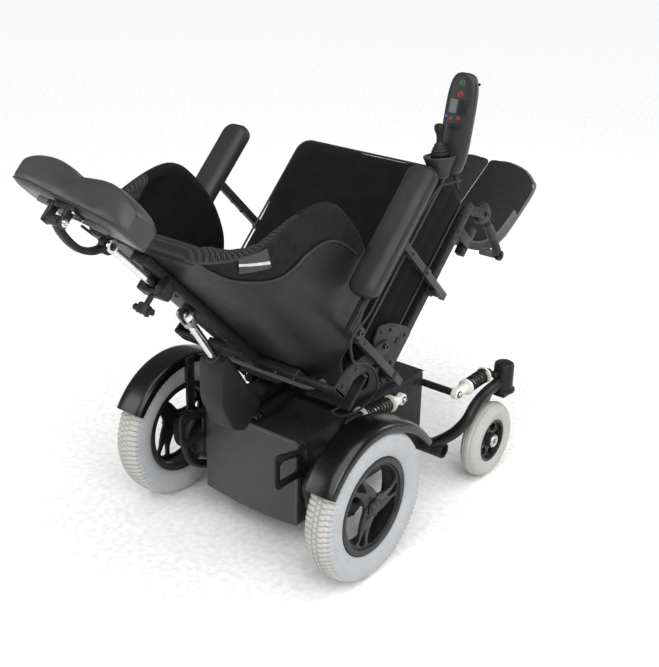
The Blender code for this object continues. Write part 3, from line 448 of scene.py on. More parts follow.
class Kit:
    """One visible piece, gathered from several shapes and materials; it starts with its first."""

    def __init__(self, *materials):
        self.verts, self.faces, self.marks, self.uvs = [], [], [], []
        self.slots, self.current = list(materials), 0

    def use(self, material):
        if material not in self.slots:
            self.slots.append(material)
        self.current = self.slots.index(material)
        return self

    def add(self, verts, faces, uvs=None, marks=None):
        start = len(self.verts)
        self.verts += [Vector(v) for v in verts]
        for i, face in enumerate(faces):
            self.faces.append([start + k for k in face])
            self.marks.append(marks[i] if marks else self.current)
            self.uvs.append(uvs[i] if uvs else None)
        return self

    def rows(self, rows, ring=True, caps=True, uv=None, mark=None):
        """Skins rows of points; ring closes each row, and caps close the two ends."""
        n = len(rows[0])
        verts = [p for row in rows for p in row]
        faces, uvs, marks = [], [], []
        for i in range(len(rows) - 1):
            for k in range(n if ring else n - 1):
                j = (k + 1) % n
                faces.append([i * n + k, i * n + j, (i + 1) * n + j, (i + 1) * n + k])
                if uv:
                    uvs.append([uv[i][k], uv[i][j], uv[i + 1][j], uv[i + 1][k]])
                marks.append(mark(i, k) if mark else self.current)
        if caps and ring:
            for i in (0, len(rows) - 1):
                faces.append([i * n + k for k in range(n)])
                if uv:
                    uvs.append([uv[i][k] for k in range(n)])
                marks.append(mark(i, 0) if mark else self.current)
        return self.add(verts, faces, uvs if uv else None, marks)

    def tube(self, points, r, n=16, across=None, taper=None):
        """A bar along points already in place; across = (half width, half depth) makes it flat."""
        side = None
        rows = []
        for i, p in enumerate(points):
            way = (points[min(i + 1, len(points) - 1)] - points[max(i - 1, 0)]).normalized()
            if side is None:
                side = X if across else way.orthogonal()
            side = (side - way * side.dot(way)).normalized()
            other = way.cross(side)
            size = taper(i / (len(points) - 1)) if taper else 1.0
            row = []
            for k in range(n):
                a = 2 * math.pi * k / n
                c, s = r * math.cos(a), r * math.sin(a)
                if across:
                    c = power(math.cos(a), 0.45) * across[0]
                    s = power(math.sin(a), 0.45) * across[1]
                row.append(p + (side * c + other * s) * size * MM)
            rows.append(row)
        return self.rows(rows)

    def lathe(self, profile, centre, axis, n=32):
        """Turns an open profile of (radius, along) about an axis; a radius of 0 closes an end."""
        axis = Vector(axis).normalized()
        side = axis.orthogonal().normalized()
        other = axis.cross(side)
        rows = []
        for i in range(n):
            a = 2 * math.pi * i / n
            out = side * math.cos(a) + other * math.sin(a)
            rows.append([centre + (out * max(r, 0.01) + axis * t) * MM for r, t in profile])
        return self.rows(rows + [rows[0]], ring=profile[0] == profile[-1], caps=False)

    def rod(self, a, b, r, edge=0.8, n=20):
        """A solid round bar with softened ends."""
        long = (b - a).length / MM
        profile = [(0, 0), (r - edge, 0), (r, edge), (r, long - edge), (r - edge, long), (0, long)]
        return self.lathe(profile, a, b - a, n)

    def pin(self, place, low, high, spot, r, edge=0.8, n=20):
        """A rod across the chair."""
        return self.rod(place(low, *spot), place(high, *spot), r, edge, n)

    def block(self, place, x, fwd, up, edge=1.0, steps=2):
        """A box between (low, high) pairs in a place's directions, with rounded edges."""
        bm = bmesh.new()
        bmesh.ops.create_cube(bm, size=1.0)
        for v in bm.verts:
            v.co = Vector([sum(pair) / 2 + c * abs(pair[1] - pair[0])
                           for c, pair in zip(v.co, (x, fwd, up))])
        if edge:
            bmesh.ops.bevel(bm, geom=bm.edges[:], offset=edge, segments=steps, profile=0.5,
                            affect="EDGES")
        bm.verts.index_update()
        self.add([place(*v.co) for v in bm.verts], [[v.index for v in f.verts] for f in bm.faces])
        bm.free()
        return self

    def plate(self, outlines, thick, place, edge=0.6):
        """A flat plate: an outline and its holes in (a, b), and its (low, high) along t."""
        low, high = thick
        curve = bpy.data.curves.new("outline", "CURVE")
        curve.dimensions, curve.fill_mode = "2D", "BOTH"
        curve.extrude = abs(high - low) / 2 - edge
        curve.bevel_depth, curve.bevel_resolution, curve.offset = edge, 1, -edge
        for outline in outlines:
            line = curve.splines.new("POLY")
            line.points.add(len(outline) - 1)
            for point, (a, b) in zip(line.points, outline):
                point.co = (a, b, 0, 1)
            line.use_cyclic_u = True
        temp = bpy.data.objects.new("outline", curve)
        mesh = bpy.data.meshes.new_from_object(temp)
        middle = (low + high) / 2
        self.add([place(v.co.x, v.co.y, middle + v.co.z) for v in mesh.vertices],
                 [list(p.vertices) for p in mesh.polygons])
        bpy.data.meshes.remove(mesh)
        bpy.data.objects.remove(temp)
        bpy.data.curves.remove(curve)
        return self

    def bar(self, thick, place, a, b, ra, rb, edge=1):
        """A plate with round ends."""
        return self.plate([link_outline(a, b, ra, rb)], thick, place, edge)

    def bolt(self, centre, axis, r=3.4, tall=3.0, washer=True, material=None):
        """A socket-head screw with its hex recess, on a washer."""
        keep = self.current
        self.use(material or DARK_BOLT)
        axis = Vector(axis).normalized()
        if washer:
            self.lathe([(0, 0), (r * 1.55, 0), (r * 1.55, 0.9), (0, 0.9)], centre, axis, 20)
        self.lathe([(r, 0.5), (r, tall - 0.5), (r - 0.5, tall), (r * 0.58, tall), (r * 0.5, tall - 0.3),
                    (r * 0.5, tall * 0.35), (0, tall * 0.35)], centre, axis, 18)
        self.current = keep
        return self

    def screws(self, place, axis, rows):
        """Screws from rows of (x, forward, up, radius, height)."""
        for x, fwd, up, r, tall in rows:
            self.bolt(place(x, fwd, up), axis, r, tall)
        return self

    def done(self, name, body, replaces=(), slot=None, crease=36):
        """Makes the mesh, welds it, hides the parts it replaces and hangs it on its body."""
        mesh = bpy.data.meshes.new(name)
        mesh.from_pydata(self.verts, [], self.faces)
        for material in self.slots:
            mesh.materials.append(material)
        mesh.polygons.foreach_set("material_index", self.marks)
        if any(self.uvs):
            layer = mesh.uv_layers.new(name="UVMap")
            for polygon, uv in zip(mesh.polygons, self.uvs):
                if uv:
                    for index, pair in zip(polygon.loop_indices, uv):
                        layer.data[index].uv = pair
        bm = bmesh.new()
        bm.from_mesh(mesh)
        bmesh.ops.remove_doubles(bm, verts=bm.verts, dist=1e-6)
        bmesh.ops.dissolve_degenerate(bm, edges=bm.edges, dist=1e-6)
        bmesh.ops.recalc_face_normals(bm, faces=bm.faces)
        bm.to_mesh(mesh)
        bm.free()
        mesh.polygons.foreach_set("use_smooth", [True] * len(mesh.polygons))
        mesh.set_sharp_from_angle(angle=math.radians(crease))
        obj = bpy.data.objects.new(name, mesh)
        bpy.context.scene.collection.objects.link(obj)
        if replaces:
            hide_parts(*replaces)
        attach(obj, body)
        return obj

    def sided(self, side, part, detail, body, slot, crease=36):
        """A piece that stands for one node on one side of the chair."""
        node = f"{part}_{side}"
        return self.done(f"{node}_{detail}", f"{body}_{side}", (node,), slot, crease)


def across_base(s):
    """A plate standing along the chair: outline in (fwd, up), thickness across."""
    return lambda a, b, t: base(s * t, a, b)


def across_seat(s):
    """The same on the seat."""
    return lambda a, b, t: seat(s * t, a, b)


def round_at(centre, s, r, degrees, out):
    """A place round a wheel's centre, that far out along its axle."""
    a = math.radians(degrees)
    return centre + (Vector((0, math.cos(a), math.sin(a))) * r + X * s * out) * MM


# ---- drive wheels ------------------------------------------------------------------------------

TRACK, TYRE_R, CASTER_R = 282.6, 175.0, 98.0
AXLE = (0, TYRE_R)
CASTER_X, CASTER_FWD, BARREL_FWD = 264.0, 547.0, 610.0
CASTER_AXLE = (CASTER_FWD, CASTER_R)


def tyre_rows(section, centre, s, lugs, relief, steps):
    """Rows round a tyre; relief(turn, radius, along) raises the tread."""
    rows = []
    for i in range(steps):
        a = 2 * math.pi * i / steps
        out = Vector((0, math.cos(a), math.sin(a)))
        row = []
        for k, (r, t) in enumerate(section):
            before, after = section[max(0, k - 1)], section[min(len(section) - 1, k + 1)]
            along, rise = after[1] - before[1], after[0] - before[0]
            length = math.hypot(along, rise) or 1
            height = relief(i / steps * lugs, r, t)
            row.append(centre + (out * (r - height * along / length)
                                 + X * s * (t + height * rise / length)) * MM)
        rows.append(row)
    return rows


def drive_relief(turn, r, t):
    """Scalloped shoulder blocks and three broken ribs."""
    side = abs(t)
    if r < 152 or side > 36:
        return 0.0
    if side > 18:
        gap = abs((turn + (0.5 if t > 0 else 0)) % 1 - 0.5)
        reach = 1 - smoothstep(27 + 7 * (1 - gap * 2), 35.8, side)
        return 2.6 * (1 - smoothstep(0.3, 0.42, gap)) * reach * smoothstep(18, 20, side)
    rib = (t + 18) / 12
    gap = abs((turn + int(rib) * 0.37) % 1 - 0.5)
    edge = abs(rib % 1 - 0.5)
    return 2.0 * (1 - smoothstep(0.34, 0.42, gap)) * (1 - smoothstep(0.4, 0.47, edge))


def drive_tyre(side, s):
    centre = base(s * TRACK, *AXLE)
    half = [(114.2, 25), (118, 30), (126, 34.5), (137, 36.6), (148, 36.4), (157, 34), (164, 29.5),
            (168.5, 23), (171.2, 15), (172.4, 6)]
    section = flat(half + [(r, -t) for r, t in reversed(half)], 4)
    lugs = 84
    steps = lugs * 8
    rows = tyre_rows(section, centre, s, lugs, drive_relief, steps)
    sidewall, tread, groove = range(3)

    def rubber(i, k):
        r, t = section[k]
        # low faces near the tread's crown take the darker rubber, a painted shade in the grooves
        low = drive_relief((i + 0.5) / steps * lugs, r, t) < 0.9
        if low and r > 161:
            return groove
        return tread if r > 166 else sidewall

    kit = Kit(SIDEWALL, TREAD, GROOVE_SHADE).rows(rows + [rows[0]], ring=False, caps=False, mark=rubber)
    for r, t in ((130, 35.6), (150.5, 36.0)):
        kit.lathe([(r - 0.9, t - 0.6), (r, t + 0.35), (r + 0.9, t - 0.6), (r - 0.9, t - 0.6)], centre,
                  X * s, 96)
    kit.sided(side, "drive_tyre", "tread", "drive_wheel", "drive_tread", 60)


def drive_rim(side, s):
    """Three swirled windows and three slots in a turned rim, with its hub and bolts."""
    centre = base(s * TRACK, *AXLE)
    kit = Kit(RIM)
    kit.lathe([(113.9, -24), (113.9, 22), (112, 26), (108, 27.5), (99, 26.5), (97, 23), (97, -20),
               (99, -25), (110, -26), (113.9, -24)], centre, X * s, 96)
    window = [(89, 7), (93, 22), (93.5, 44), (93.5, 62), (93, 80), (89, 94), (76, 97), (60, 92),
               (44, 80), (31, 56), (33, 32), (50, 13), (70, 6)]
    slot = [(54, 111.5), (64, 107), (78, 104.5), (88, 104), (91.5, 111), (88, 117.5), (78, 117),
            (64, 114.5)]
    face = [arc_points(0, 0, 98, 0, 357, 119)]
    for k in range(3):
        for shape in (window, slot):
            swirl = [(r, math.radians(a + 120 * k + 8 + (r - 40) * 0.16)) for r, a in shape]
            face.append(flat([(r * math.cos(a), r * math.sin(a)) for r, a in swirl], 5, closed=True))
    kit.plate(face, (15, 23), lambda a, b, t: base(s * (TRACK + t), a, TYRE_R + b), 2.2)
    for k in range(3):
        for degrees, r in ((112, 27), (172, 26)):
            a = math.radians(120 * k + degrees)
            kit.bolt(base(s * (TRACK + 23), r * math.cos(a), TYRE_R + r * math.sin(a)), X * s, 3, 2.6)
    kit.lathe([(0, 22), (19, 22), (20, 24), (19.5, 27), (17, 28.5), (15, 31), (9, 32), (0, 32)],
              centre, X * s, 48)
    kit.pin(base, s * 230, s * 304, AXLE, 10)
    kit.sided(side, "drive_rim", "spokes", "drive_wheel", "black_plastic")


def fender(side, s):
    """A shell swept round the tyre, flared at its front, on its stay."""
    stations, inner, thick = 64, 188, 3
    profile = [(-45, -20), (-44, -8), (-40, -2.5), (-33, 0), (-20, 1), (0, 1.6), (16, 1), (25, -1),
               (32, -5), (35, -12), (35.5, -20)]
    profile = flat(profile, 3)
    rows = []
    for i in range(stations + 1):
        a = 150 - 130 * i / stations
        grow = max(0.0, (70 - a) / 50) ** 1.5 * 34
        lip = 1 - 0.12 * (1 - smoothstep(0, 6, i)) - 0.12 * (1 - smoothstep(0, 6, stations - i))
        c, k = math.cos(math.radians(a)), math.sin(math.radians(a))
        row = []
        for points, extra, narrow in ((profile, thick, 1), (profile[::-1], 0, 0.94)):
            for u, v in points:
                r = inner + grow + extra + v * (1 if v > -3 else lip)
                row.append(base(s * (TRACK + u * narrow), r * c, TYRE_R + r * k))
        rows.append(row)
    kit = Kit(FENDER).rows(rows)
    kit.use(BLACK).block(base, two(s, 232, 240), (-12, 12), (TYRE_R + 48, TYRE_R + 189), 1.2)
    kit.block(base, two(s, 200, 236), (-12, 12), (TYRE_R + 50.5, TYRE_R + 57), 1)
    kit.screws(base, X * -s, [(s * 232, 0, TYRE_R + up, 4, 3.5) for up in (120, 168)])
    kit.sided(side, "fender", "shell", "drive_arm", "black_gloss", 50)


def gear_motor(side, s):
    centre = base(s * 150.4, *AXLE)
    kit = Kit(PLASTIC)
    kit.lathe([(0, 0), (46, 0), (50, 3), (50, 16), (48, 18), (50, 20), (50, 60), (47, 63), (44, 64),
               (44, 70), (49, 72), (49.5, 96), (46, 100), (32, 104), (30, 110), (0, 110)],
              centre, X * s, 64)
    for k in range(18):
        kit.tube([round_at(centre, s, 49.2, 20 * k, out) for out in (26, 56)], 1.4, 6)
    for k in range(6):
        kit.bolt(round_at(centre, s, 40, 60 * k + 30, 103), X * s, 3)
    kit.sided(side, "gear_motor", "case", "drive_arm", "black_plastic")


def drive_arm(side, s):
    """A plate from its pin to the axle, an arm up to the shock, and the tube that bows round."""
    thick, elbow, shoulder, heel = (144, 150), (80, 165), (60, 240), (45, 112)
    place = across_base(s)
    kit = Kit(BLACK).plate([link_outline(AXLE, DRIVE_PIN, 30, 24), arc_points(*DRIVE_PIN, 12.6, 0, 345, 23)],
                           thick, place, 1)
    kit.pin(base, s * thick[0], s * thick[1], AXLE, 45, n=48)
    kit.bar(thick, place, elbow, REAR_TIP, 22, 11)
    kit.bar(thick, place, shoulder, elbow, 9, 20)
    kit.pin(base, s * 147, s * 170, REAR_TIP, 5)
    bow = [(160, 60, 240), (178, 12, 250), (186, -42, 230), (188, -70, 180), (186, -50, 126),
           (170, 0, 104), (154, 45, 112)]
    kit.tube(spline([base(s * x, f, u) for x, f, u in bow], 8), 10.5, 20)
    for spot in (shoulder, heel):
        kit.pin(base, s * 146, s * 164, spot, 9)
    kit.bolt(base(s * 170, *REAR_TIP), X * s, 4, 4)
    kit.sided(side, "drive_arm", "weldment", "drive_arm", "black_frame")


# ---- casters -----------------------------------------------------------------------------------

def caster_relief(turn, r, t):
    """Shallow worn ribs with slanted nicks."""
    if r < 86:
        return 0.0
    side = abs(t)
    groove = smoothstep(1.2, 2.6, abs(side - 8))
    gap = abs((turn + side * 0.05) % 1 - 0.5)
    nick = smoothstep(0.03, 0.09, gap) if side > 10 else 1.0
    return -1.2 + 1.2 * groove * nick


def caster_wheel(side, s):
    centre = base(s * CASTER_X, *CASTER_AXLE)
    half = [(55.3, 18), (60, 21.5), (70, 24.4), (79, 24.2), (87, 21), (92.5, 15.5), (96, 9), (97.6, 3)]
    section = flat(half + [(r, -t) for r, t in reversed(half)], 5)
    rows = tyre_rows(section, centre, s, 40, caster_relief, 320)
    kit = Kit(CASTER_RUBBER).rows(rows + [rows[0]], ring=False, caps=False)
    kit.sided(side, "caster_tyre", "tread", "caster_wheel", "caster_tread", 60)

    kit = Kit(RIM)
    kit.lathe([(55, -17.5), (55, 17.5), (52.5, 19.5), (49, 18), (46, 8), (46, -8), (49, -18),
               (52.5, -19.5), (55, -17.5)], centre, X * s, 72)
    window = [(24, -14), (26, 0), (24, 14), (32, 24), (40, 23), (43.5, 10), (43.5, -10), (40, -23),
              (32, -24)]
    face = [arc_points(0, 0, 47.5, 0, 354, 59)]
    for k in range(5):
        turned = [(r, math.radians(a * 0.9 + 72 * k)) for r, a in window]
        face.append(flat([(r * math.cos(a), r * math.sin(a)) for r, a in turned], 4, closed=True))
    for t in (8, -8):
        kit.plate(face, (t - 2.5, t + 2.5),
                  lambda a, b, d: base(s * (CASTER_X + d), CASTER_FWD + a, CASTER_R + b), 1.2)
    kit.lathe([(0, -22), (18, -22), (19, -20), (19, 20), (18, 22), (0, 22)], centre, X * s, 40)
    kit.use(ALLOY).lathe([(0, 22), (15, 22), (16, 23), (15, 26), (11, 27), (10.5, 25.5), (5, 25.5),
                          (0, 25.5)], centre, X * s, 40)
    kit.bolt(base(s * (CASTER_X + 25.4), *CASTER_AXLE), X * s, 5, 4, material=CHROME)
    for k in range(5):
        a = math.radians(72 * k + 36)
        kit.bolt(base(s * (CASTER_X + 10.5), CASTER_FWD + 33 * math.cos(a), CASTER_R + 33 * math.sin(a)),
                 X * s, 2.6, 2)
    kit.sided(side, "caster_rim", "spokes", "caster_wheel", "black_plastic")


def caster_mount(side, s):
    """The bent arm with its swivel barrel, and the one-sided fork under it."""
    kit = Kit(BLACK)
    kit.lathe([(0, 212), (31, 212), (32, 214), (31, 218), (26, 220), (25.4, 224), (25.4, 280),
               (23.5, 286), (19, 289), (0, 289.5)], base(s * CASTER_X, BARREL_FWD, 0), UP, 48)
    route = [(166, 452, 88), (200, 440, 116), (238, 434, 152), (264, 442, 190), (268, 472, 221),
             (266, 515, 234), (264, 560, 238), (263, 604, 242)]
    kit.tube(spline([base(s * a, f, u) for a, f, u in route], 8), 14.3, 28)
    kit.lathe([(13, -52), (19.5, -52), (20.5, -50), (20.5, 48), (19.5, 50), (13, 50), (13, -52)],
              base(s * 150, *CROSS_SHAFT), X * s, 40)
    kit.block(base, two(s, 246, 264), (570, 606), (256, 270), 3, 3)
    kit.pin(base, s * 228, s * 252, FRONT_TIP, 5)
    kit.sided(side, "caster_arm", "tube", "caster_arm", "black_frame")

    kit = Kit(BLACK).bar((224, 231), across_base(s), CASTER_AXLE, (604, 190), 13, 20, 1.5)
    kit.block(base, two(s, 224, 282), (590, 628), (199, 210), 3, 3)
    kit.rod(base(s * CASTER_X, BARREL_FWD, 196), base(s * CASTER_X, BARREL_FWD, 250), 9)
    kit.pin(base, s * 222, s * 291, CASTER_AXLE, 7)
    kit.bolt(base(s * 224, *CASTER_AXLE), X * -s, 6, 5)
    kit.sided(side, "caster_fork", "blade", "caster_fork", "black_frame")


def shock(name, s, x, eye, tip):
    """A cream damper with its collar, and a coil spring on the arm's end."""
    length = math.dist(eye, tip)
    way = ((tip[0] - eye[0]) / length, (tip[1] - eye[1]) / length)

    def at(t):
        return base(s * x, eye[0] + way[0] * t, eye[1] + way[1] * t)

    axis = at(1) - at(0)
    kit = Kit(CREAM).pin(base, s * (x - 9), s * (x + 9), eye, 14, 2.5, 32)
    kit.lathe([(0, 8), (10, 8), (11.5, 14), (11.5, 26), (13.5, 27), (13.5, 31), (11.8, 32), (12, 41),
               (18, 42), (20.5, 44), (20.5, 48), (18, 49.5), (8, 49.5), (7, 86), (0, 86)], at(0), axis, 40)
    for out in (9, -9):
        kit.use(PLASTIC).pin(base, s * (x + out), s * (x + out * 1.28), eye, 8.5, 1)
    kit.bolt(base(s * (x + 11.5), *eye), X * s, 5, 4, material=CHROME)
    kit.done(name + "_damper", name + "_shock", (name + "_shock",), "damper_white")

    rear = length - 16
    kit = Kit(CREAM).lathe([(9, rear - 5), (20, rear - 5), (21, rear - 3), (21, rear - 1),
                            (19, rear + 0.5), (10, rear + 1)], at(0), axis, 40)
    kit.use(BLACK).lathe([(13, rear), (12, length - 10), (10, length - 3), (0, length - 3)], at(0), axis, 28)
    kit.pin(base, s * (x - 7), s * (x + 7), tip, 10.5, 1.5)
    kit.bolt(base(s * (x + 7), *tip), X * s, 4.6, 4)
    kit.done(name + "_cap", name + "_spring", (name + "_spring",), "spring_steel")

    pitch, wire, coil = 11.5, 2.9, 15.8
    turns = (rear - 54) / pitch
    side_axis = axis.normalized().orthogonal().normalized()
    other = axis.normalized().cross(side_axis)
    points = []
    count = int(turns * 22)
    for i in range(count + 1):
        t = i / count
        squeeze = 0.5 * (1 - math.cos(math.pi * t))
        along = 52.5 + (rear - 58.5) * (0.85 * t + 0.15 * squeeze)
        a = 2 * math.pi * turns * t
        points.append(at(along) + (side_axis * math.cos(a) + other * math.sin(a)) * coil * MM)
    kit = Kit(SPRING).tube(points, wire, 9).use(CHROME).tube([at(50), at(rear - 6)], 5.5, 20)
    obj = kit.done(name + "_coil", name + "_spring", (), "spring_steel")
    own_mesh(obj)


# ---- base --------------------------------------------------------------------------------------

BOX_HALF, BOX_LOW, BOX_TOP = 139.0, 80.0, 292.0


def battery_box():
    """The painted box with its shafts, strut pins and the two tie-down loops."""
    kit = Kit(PLASTIC, BLACK).block(base, (-BOX_HALF, BOX_HALF), (-46, 433), (BOX_LOW, BOX_TOP - 3.4), 6, 3)
    kit.block(base, (-BOX_HALF - 0.8, BOX_HALF + 0.8), (-20, 410), (168, 171), 0.8)
    kit.use(BLACK).pin(base, -184, 184, CROSS_SHAFT, 12, n=32)
    kit.block(base, (-60, 60), (431, 452), (68, 100), 3)
    loop = rounded([(-26, 207), (-124, 207), (-132, 218), (-132, 285), (-120, 292), (-26, 271)], 9)
    window = rounded([(-60, 226), (-112, 226), (-116, 232), (-116, 264), (-108, 271), (-60, 262)], 6)
    for s in (-1, 1):
        for reach, spot, r in ((246, FRONT_EYE, 9), (158, DRIVE_PIN, 12), (172, REAR_EYE, 5)):
            kit.pin(base, s * 137, s * reach, spot, r)
        kit.plate([loop, window], (137, 143.4), across_base(s), 2.6)
        kit.screws(base, X * s, [(s * 139, -34, up, 3.4, 3) for up in (200, 280)]
                   + [(s * 139.4, fwd, 270, 3.4, 3) for fwd in (120, 300, 400)])
    kit.done("battery_box_shell", "base", ("battery_box",), "black_plastic")


def base_covers():
    """The lid, and the woven rear panel with its bowed lower edge and a dashed edge line."""
    kit = Kit(PLASTIC).block(base, (-BOX_HALF, BOX_HALF), (-46.5, 433), (BOX_TOP - 3, BOX_TOP), 1.2)
    kit.screws(base, UP, [(s * 128, fwd, BOX_TOP, 3, 2) for s in (-1, 1) for fwd in (-20, 120, 290, 415)])
    kit.done("top_cover_lid", "base", ("top_cover",), "black_plastic")

    edge, face, pitch = BOX_HALF - 1.4, -51.2, 5.6
    bow = [(edge * k / 10, BOX_LOW - 10 * (1 - (k / 10) ** 2)) for k in range(-10, 11)]
    outline = bow + [(edge, BOX_TOP - 8), (edge - 8, BOX_TOP), (8 - edge, BOX_TOP), (-edge, BOX_TOP - 8)]
    kit = Kit(PANEL).plate([outline], (-51, -47.3), lambda a, b, t: base(a, t, b), 1.2).use(WEAVE)
    dashes = [(-127 + k * pitch, BOX_TOP - 5.2) for k in range(46)]
    dashes += [(4.6 - edge, BOX_TOP - 14 - k * pitch) for k in range(34)]
    for x, up in dashes:
        kit.tube([base(x, face, up), base(x + 2.5, face, up - 2.4)], 0.75, 5)
    kit.done("rear_cover_panel", "base", ("rear_cover",), "charcoal_cover")


def tilt_bracket():
    """Two upright plates that carry the seat's pivot bar, and the tilt ram's clevis."""
    kit = Kit(BLACK).block(base, (-128, 128), (125, 330), (BOX_TOP + 0.4, BOX_TOP + 8), 1)
    outline = rounded([(330, 296)] + arc_points(*TILT_PIVOT, 12, 10, 170, 10) + [(125, 296)], 2, 1)
    for s in (-1, 1):
        kit.plate([outline, arc_points(196, 345, 22, 0, 340, 17)], (120, 128), across_base(s), 1)
        kit.bolt(base(s * 128, *TILT_PIVOT), X * s, 7, 5)
        kit.block(base, two(s, 11, 16), (397, 413), (BOX_TOP + 4, BOX_TOP + 28), 1)
        kit.screws(base, UP, [(s * 112, fwd, BOX_TOP + 8, 4, 3) for fwd in (150, 300)])
    kit.pin(base, -124, 124, TILT_PIVOT, 9)
    kit.pin(base, -16, 16, RAM_FOOT, 5)
    kit.block(base, (-16, 16), (320, 420), (BOX_TOP + 0.4, BOX_TOP + 7), 1)
    kit.done("tilt_bracket_plates", "base", ("tilt_bracket",), "black_frame")


# ---- seat frame --------------------------------------------------------------------------------

def rear_post(kit, s):
    """A square telescoping post with its clamp and set screws."""
    x, fwd, low, high, clamp = two(s, 233, 249), (-52, -34), -2, 244, 1.6
    kit.use(POST).block(seat, x, fwd, (low, high), 1.6)
    kit.use(BLACK).block(seat, (x[0] - clamp, x[1] + clamp), (fwd[0] - clamp, fwd[1] + clamp),
                         (low + 30, low + 46), 1.2)
    kit.screws(seat, -SEAT_FWD, [(s * 241, fwd[0] - clamp, low + 38, 3, 2.2),
                                 (s * 241, fwd[0], high - 60, 3, 2.2), (s * 241, fwd[0], high - 24, 3, 2.2)])
    kit.bolt(seat(s * 249, -43, high - 42), X * s, 3.0, 2.4)


def seat_frame():
    kit = Kit(FRAME)
    for x, fwd, up, edge, steps in ((164, (-62, 396), (16, 36), 4, 3), (164, (-62, -54), (-2, 30), 1, 2),
                                    (164, (-146, -56), (-2, 8), 2.5, 3), (198, (-40, 398), (33, 41), 2, 2)):
        kit.block(seat, (-x, x), fwd, up, edge, steps)
    for x in (-120, -40, 40, 120):
        kit.use(BLACK).block(seat, (x - 9, x + 9), (-60, 380), (13.4, 17), 1.4)
        kit.bolt(seat(x, -120, -2), -SEAT_UP, 4, 3)
    cheek = rounded([(-30, 22), (-30, 118), (-14, 140), (20, 147), (46, 112), (70, 50), (70, 22)], 9)
    slot = rounded([(18, 60), (36, 60), (36, 66), (18, 66)], 3)
    for s in (-1, 1):
        place = across_seat(s)
        kit.use(FRAME).block(seat, two(s, 205, 223), (-64, 404), (18, 38), 2.5, 3)
        kit.block(seat, two(s, 190, 212), (20, 380), (30, 37), 1)
        for fwd in range(10, 410, 40):
            kit.bolt(seat(s * 223, fwd, 28), X * s, 2.6, 1.4, washer=False, material=POST)
        kit.bar((104, 113), place, (0, 0), (0, 20), 16, 16)
        kit.bar((10, 16), place, (70, -2), (70, 24), 9, 10, 0.8)
        kit.use(HINGE_GREY).plate([cheek, slot], (221, 226), place, 1)
        kit.bolt(seat(s * 226, *RECLINE_HINGE), X * s, 8, 6, material=STEEL)
        kit.screws(seat, X * s, [(s * 226, fwd, up, 4, 3.4)
                                 for fwd, up in ((-18, 40), (52, 40), (14, 128), (34, 100))])
        for up in (60, 92):
            kit.use(PLASTIC).rod(seat(s * 223.5, -34, up), seat(s * 223.5, -46, up), 7, n=18)
        rear_post(kit, s)
        kit.use(BLACK)
        for x0, x1, fwd, up, edge in ((218, 241, (-56, -30), (22, 46), 2),
                                      (221, 228, (164, 198), (14, 46), 1.5),
                                      (227, 248, (167, 171), (14, 46), 1)):
            kit.block(seat, two(s, x0, x1), fwd, up, edge)
        kit.use(FRAME).bar((206, 212), place, (388, 28), KNEE, 10, 13)
        kit.block(seat, two(s, 186, 207), (312, 386), (-70, -50), 2.5)
        kit.block(seat, two(s, 204, 211), (330, 356), (-60, 26), 1.5)
        kit.bar((17, 23), place, RECLINE_FOOT, (-138, 5), 12, 12)
        kit.screws(seat, X * s, ((s * 241, -43, 34, 4.4, 3.4), (s * 228, 190, 30, 4, 3),
                                 (s * 212, *KNEE, 6, 4), (s * 23, *RECLINE_FOOT, 6, 5)))
    kit.pin(seat, -23, 23, RECLINE_FOOT, 5)
    kit.done("seat_frame_rails", "seat", ("seat_frame",), "black_frame")


def along(place, foot, tip):
    """A function that gives places along a ram, with a step out from it and one across."""
    reach = math.dist(foot, tip)
    fwd, up = (tip[0] - foot[0]) / reach, (tip[1] - foot[1]) / reach
    return reach, lambda t, out=0.0, x=0.0: place(x, foot[0] + fwd * t - up * out,
                                                  foot[1] + up * t + fwd * out)


